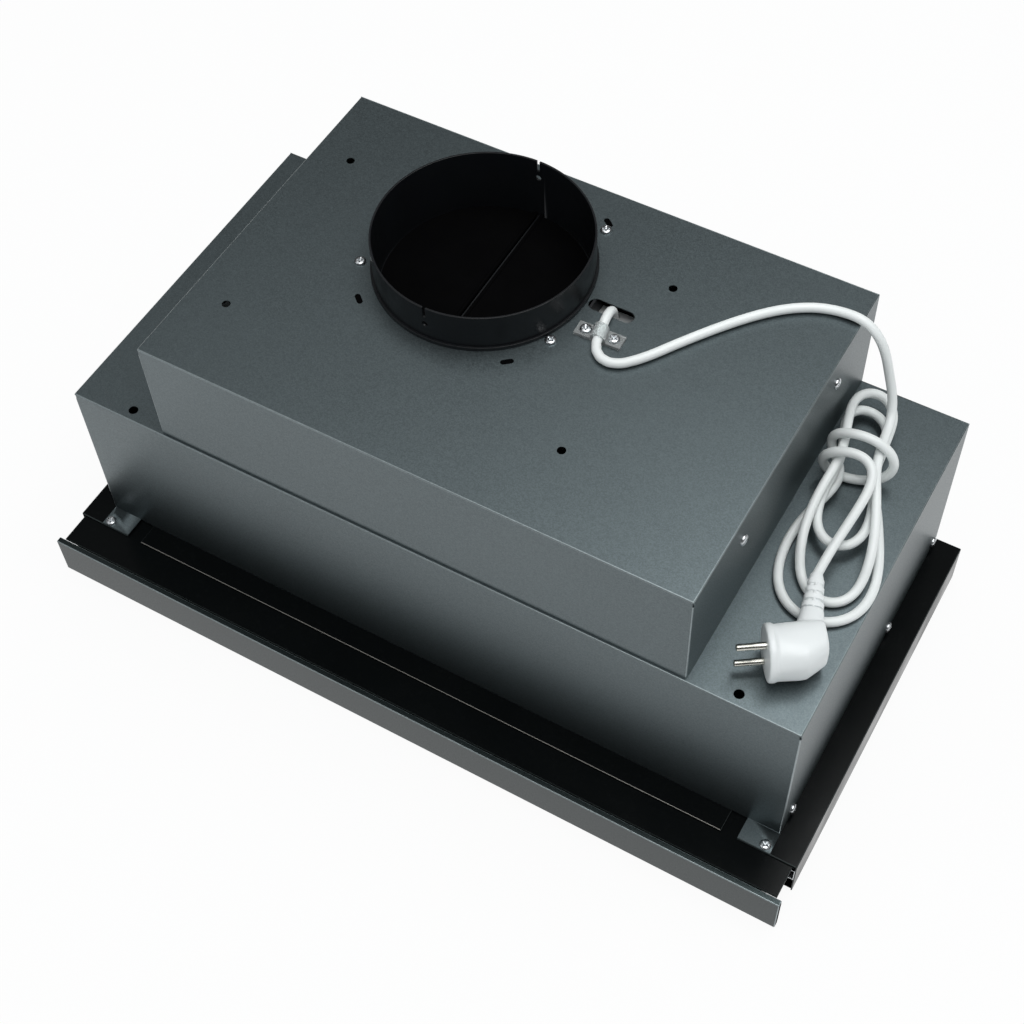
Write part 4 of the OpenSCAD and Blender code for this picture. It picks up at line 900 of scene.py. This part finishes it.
def seen_by_eye(tree):
    """1 for rays from the camera, in reflections and through clear plastic, and 0 for the rest."""
    path = tree.nodes.new("ShaderNodeLightPath")
    seen = path.outputs["Is Camera Ray"]
    for ray in ("Is Glossy Ray", "Is Transmission Ray"):
        either = tree.nodes.new("ShaderNodeMath")
        either.operation = "MAXIMUM"
        tree.links.new(seen, either.inputs[0])
        tree.links.new(path.outputs[ray], either.inputs[1])
        seen = either.outputs[0]
    return seen


def mix_to(tree, share, low, high, surface):
    mix = tree.nodes.new("ShaderNodeMixShader")
    tree.links.new(share, mix.inputs["Fac"])
    tree.links.new(low.outputs[0], mix.inputs[1])
    tree.links.new(high.outputs[0], mix.inputs[2])
    tree.links.new(mix.outputs[0], surface)


def floor():
    mesh = bpy.data.meshes.new("floor")
    corners = [(-1, -1), (1, -1), (1, 1), (-1, 1)]
    mesh.from_pydata([(x * FLOOR_HALF, y * FLOOR_HALF, FLOOR_Z) for x, y in corners],
                     [], [(0, 1, 2, 3)])
    obj = link_object("floor", mesh)
    mat = bpy.data.materials.new("floor_white")
    tree = cleared_tree(mat)
    out = tree.nodes.new("ShaderNodeOutputMaterial")
    diffuse = tree.nodes.new("ShaderNodeBsdfDiffuse")
    diffuse.inputs["Color"].default_value = (0.86, 0.87, 0.87, 1)
    glow = tree.nodes.new("ShaderNodeEmission")
    glow.inputs["Strength"].default_value = 1.0
    share = tree.nodes.new("ShaderNodeMath")
    share.operation = "MULTIPLY"
    share.inputs[1].default_value = FLOOR_WHITE_SHARE
    tree.links.new(seen_by_eye(tree), share.inputs[0])
    mix_to(tree, share.outputs[0], diffuse, glow, out.inputs["Surface"])
    mesh.materials.append(mat)


def world():
    studio = bpy.data.worlds.new("studio")
    bpy.context.scene.world = studio
    tree = cleared_tree(studio)
    out = tree.nodes.new("ShaderNodeOutputWorld")
    ambient = tree.nodes.new("ShaderNodeBackground")
    ambient.inputs["Color"].default_value = (0.95, 0.98, 1.0, 1)
    ambient.inputs["Strength"].default_value = 0.55
    white = tree.nodes.new("ShaderNodeBackground")
    white.inputs["Color"].default_value = (1, 1, 1, 1)
    white.inputs["Strength"].default_value = 1.0
    mix_to(tree, seen_by_eye(tree), ambient, white, out.inputs["Surface"])


def lamp(name, at, aim, size, watts, color):
    data = bpy.data.lights.new(name, "AREA")
    data.shape = "RECTANGLE"
    data.size = size[0]
    data.size_y = size[1]
    data.energy = watts
    data.color = color
    obj = link_object(name, data)
    obj.location = at
    obj.rotation_euler = (Vector(aim) - Vector(at)).to_track_quat("-Z", "Y").to_euler()


def reflected_room(radius, low_level, high_level, low_at, high_at):
    """A studio dome that only shows in reflections: dim walls and a bright ceiling."""
    bm = bmesh.new()
    rises = [radians(degrees) for degrees in range(2, 90, 8)]
    profile = [(radius * cos(rise), radius * sin(rise)) for rise in rises] + [(0, radius)]
    lathe(bm, profile, Matrix.Identity(4), 48)
    obj = link_object("reflected_room", mesh_from("reflected_room", bm))
    mat = bpy.data.materials.new("reflected_room")
    tree = cleared_tree(mat)
    out = tree.nodes.new("ShaderNodeOutputMaterial")
    glow = tree.nodes.new("ShaderNodeEmission")
    place_node = tree.nodes.new("ShaderNodeNewGeometry")
    split = tree.nodes.new("ShaderNodeSeparateXYZ")
    ramp = tree.nodes.new("ShaderNodeMapRange")
    ramp.interpolation_type = "SMOOTHSTEP"
    ramp.inputs["From Min"].default_value = radius * sin(radians(low_at))
    ramp.inputs["From Max"].default_value = radius * sin(radians(high_at))
    ramp.inputs["To Min"].default_value = low_level
    ramp.inputs["To Max"].default_value = high_level
    tree.links.new(place_node.outputs["Position"], split.inputs["Vector"])
    tree.links.new(split.outputs["Z"], ramp.inputs["Value"])
    tree.links.new(ramp.outputs["Result"], glow.inputs["Strength"])
    tree.links.new(glow.outputs[0], out.inputs["Surface"])
    obj.data.materials.append(mat)
    obj.visible_camera = False
    obj.visible_diffuse = False
    obj.visible_shadow = False
    obj.visible_transmission = False


floor()
world()
lamp("key", (0.5, -0.1, 2.3), (0, 0, 0.15), (1.6, 1.6), 22, (1.0, 1.0, 1.0))
lamp("fill", (-1.6, -1.4, 1.6), (0, 0, 0.1), (1.6, 1.2), 5, (0.95, 0.98, 1.0))
lamp("back_soft", (0.30, 0.45, 1.5), (0.21, -0.13, 0.18), (0.4, 0.4), 2.6, (0.97, 1.0, 1.0))
reflected_room(6.0, 0.06, 1.2, 46, 68)

bpy.context.view_layer.update()
